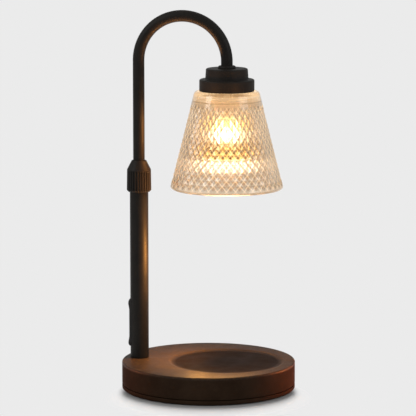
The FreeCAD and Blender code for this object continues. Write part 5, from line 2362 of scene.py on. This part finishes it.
@dataclass
class Studio:
    """Pale floor, soft lights, the lamp's own warm light, and the camera."""

    paleness: float = 0.831
    azimuth: float = math.radians(12.25)
    elevation: float = math.radians(8.722)
    distance: float = 2310.886
    lens: float = 232.21
    aim: Triple = (0.0, 0.0, 157.512)
    shift: float = -0.469
    floor_opening: float = 66.0
    floor_radius: float = 4000.0
    glow_height: float = 196.0

    def build(self) -> None:
        """Makes the floor, world, lights and camera."""
        self.make_world()
        self.make_floor()
        self.make_studio_lights()
        self.make_base_glow()
        self.make_arm_glow()
        self.make_camera()

    def seen_plain(self, graph: ShaderGraph) -> Term:
        """Finds what is seen plainly.

        Args:
            graph: the tree.

        Returns:
            1 for camera and transmission rays, else 0.
        """
        rays = ("Is Camera Ray", "Is Transmission Ray")
        camera, glass = (graph.term("ShaderNodeLightPath", kind) for kind in rays)
        return (camera + glass).held()

    def make_world(self) -> None:
        """Makes an even world that looks pale and lights softly."""
        world = bpy.data.worlds.new("studio")
        bpy.context.scene.world = world
        world.use_nodes = True
        graph = ShaderGraph(world.node_tree)
        colour = graph.mix(self.seen_plain(graph), (0.6, 0.6, 0.6), (self.paleness,) * 3)
        graph.set(world.node_tree.nodes["Background"], Color=colour, Strength=1.0)

    def floor_material(self) -> bpy.types.Material:
        """Makes the floor's material: shaded near the lamp, plain further out, clear from below.

        Returns:
            The material.
        """
        material = bpy.data.materials.new("pale floor")
        graph = SurfaceGraph(material)
        graph.paint(Base_Color=(0.28, 0.28, 0.28, 1.0), Roughness=1.0, Specular_IOR_Level=0.0)
        x, y, _ = graph.axes()
        nearer = Vector(polar(42.0 * MM, self.azimuth - math.pi / 2))
        far = graph.fade(graph.reach(x - nearer.x, y - nearer.y), 74.0, 88.0, 0.0, 1.0)
        plain = graph.term("ShaderNodeEmission", Color=(*(self.paleness,) * 3, 1.0))
        seen = far * self.seen_plain(graph)
        above = graph.either(seen, Term(graph, graph.shader.outputs["BSDF"]), plain)
        below = graph.term("ShaderNodeNewGeometry", "Backfacing")
        graph.surface(graph.either(below, above, graph.term("ShaderNodeBsdfTransparent")))
        return material

    def make_floor(self) -> None:
        """Makes a round floor that fades into the backdrop, open where the foot ring shuts it."""
        shape = bmesh.new()
        for radius in (self.floor_opening, self.floor_radius):
            bmesh.ops.create_circle(shape, segments=96, radius=radius)
        bmesh.ops.bridge_loops(shape, edges=shape.edges)
        shape.normal_update()
        under = [face for face in shape.faces if face.normal.z < 0]
        bmesh.ops.reverse_faces(shape, faces=under)
        floor = mesh_object("floor", shape)
        floor.data.transform(Matrix.Translation((0.0, 0.0, -0.02 * MM)))
        floor.data.materials.append(self.floor_material())
        self.floor = group("floor alone", "floor")
        self.low = group("base alone", "base_cover", "base_plate", "foot_ring")
        self.unlit = group("left out by the warm light", "floor")
        self.unlit.collection_objects[0].light_linking.link_state = "EXCLUDE"

    def from_camera(self, turn: float, reach: float, height: float) -> Triple:
        """Returns a place at an angle in degrees from the camera's side, a reach and a height."""
        return (*polar(reach, self.azimuth + math.radians(turn) - math.pi / 2), height)

    def make_studio_lights(self) -> None:
        """Adds two soft lights, and one from behind that only brightens the floor."""
        Light("key", (-1300.0, -900.0, 1100.0), MIDDLE, 9.0, WHITE, 900.0).build()
        Light("fill", (1400.0, -500.0, 900.0), MIDDLE, 5.0, WHITE, 900.0).build()
        place = self.from_camera(180.0, 860.0, 1230.0)
        behind = Light("back", place, (0.0, 0.0, 0.0), 74.0, (1.0, 1.0, 1.0), 1200.0)
        back = behind.build(self.floor)
        back.light_linking.blocker_collection = self.low
        back.data.shape, back.data.size, back.data.size_y = "RECTANGLE", 0.3, 1.2

    def make_base_glow(self) -> None:
        """Adds the warm light that the base and the pole catch."""
        for turn, reach, height, power, colour in (
            (-92.0, 190.0, 14.0, 0.25, (1.0, 0.24, 0.05)),
            (94.0, 190.0, 14.0, 0.9, (1.0, 0.22, 0.045)),
            (-26.0, 500.0, 60.0, 0.3, (1.0, 0.7, 0.5)),
            (24.0, 500.0, 60.0, 0.3, (1.0, 0.7, 0.5)),
        ):
            place = self.from_camera(turn, reach, height)
            light = Light("side glow", place, (0.0, 0.0, 14.0), power, colour, 60.0)
            light.build(self.low, Body.BASE)
        for turn, power in (
            (160, 0.12),
            (205, 0.095),
            (245, 0.027),
            (285, 0.034),
            (330, 0.02),
            (40, 0.015),
            (100, 0.015),
        ):
            angle = math.radians(turn)
            place = (*polar(26.0, angle, (SHADE_X, 0.0)), 58.0)
            aim = (*polar(80.0, angle, (SHADE_X, 0.0)), 30.0)
            Light("base glow", place, aim, power, AMBER, 26.0).build(self.low, Body.BASE)
        place, aim = (6.0, 0.0, 108.0), (POLE_X, 0.0, 116.0)
        Light("pole glow", place, aim, 0.3, (1.0, 0.41, 0.09), 22.0).build(self.unlit, Body.BASE)

    def make_arm_glow(self) -> None:
        """Adds the warm light that the arm, the nut, the cap and the glass catch."""
        for place, aim, power, names in (
            ((-24.0, 0.0, 222.0), (POLE_X, 0.0, 222.0), 0.055, ("gooseneck", "knurled_nut")),
            ((-18.0, -8.0, 284.0), (-26.0, 0.0, 326.0), 0.035, ("gooseneck",)),
            ((-28.0, -12.0, 178.0), (POLE_X, 0.0, 179.0), 0.03, ("knurled_nut",)),
            ((-20.0, -56.0, 236.0), (SHADE_X, 0.0, 266.0), 0.03, ("stepped_cap", "cap_collar")),
            ((60.0, -50.0, 236.0), (SHADE_X, 0.0, 266.0), 0.03, ("stepped_cap", "cap_collar")),
        ):
            light = Light("near glow", place, aim, power, DEEP_AMBER, 26.0)
            light.build(group("lit from near", *names), Body.ARM)
        bulb = (SHADE_X, 0.0, self.glow_height)
        shade = Light("shade glow", bulb, MIDDLE, 0.2, (1.0, 0.55, 0.24), 9.0, "POINT")
        shade.build(self.unlit, Body.ARM)
        beam = Light("lamp beam", bulb, (SHADE_X, 0.0, 0.0), 2.6, AMBER, 12.0, "SPOT")
        spot = beam.build(self.unlit, Body.ARM).data
        spot.spot_size, spot.spot_blend = math.radians(60), 1.0
        for name in ("front_glass", "burner", "reflector"):
            bpy.data.objects[name].light_linking.receiver_collection = self.unlit

    def make_camera(self) -> None:
        """Sets the camera at the lamp's three-quarter front."""
        flat = polar(math.cos(self.elevation), self.azimuth - math.pi / 2)
        back = Vector((*flat, math.sin(self.elevation)))
        right = Vector((*polar(1.0, self.azimuth), 0.0))
        data = bpy.data.cameras.new("camera")
        data.lens, data.sensor_width = self.lens, 36.0
        data.clip_start, data.clip_end = 0.1, 20.0
        camera = linked("camera", data)
        place = (Vector(self.aim) + right * self.shift + back * self.distance) * MM
        axes = Matrix((right, back.cross(right), back)).transposed()
        camera.matrix_world = Matrix.Translation(place) @ axes.to_4x4()
        bpy.context.scene.camera = camera


def main() -> None:
    """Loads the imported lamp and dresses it."""
    logging.basicConfig(level=logging.INFO, format="%(message)s", stream=sys.stdout)
    for old in list(bpy.data.objects):
        bpy.data.objects.remove(old)
    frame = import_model()
    for kind in (
        BaseAssembly,
        PoleAssembly,
        LockAssembly,
        SwitchAssembly,
        ArmAssembly,
        ShadeAssembly,
        LampAssembly,
    ):
        log.info("building %s", kind.__name__)
        kind(frame["nodes"]).build()
    Studio().build()
    bpy.context.scene.view_settings.view_transform = "Standard"


if __name__ == "__main__":
    main()
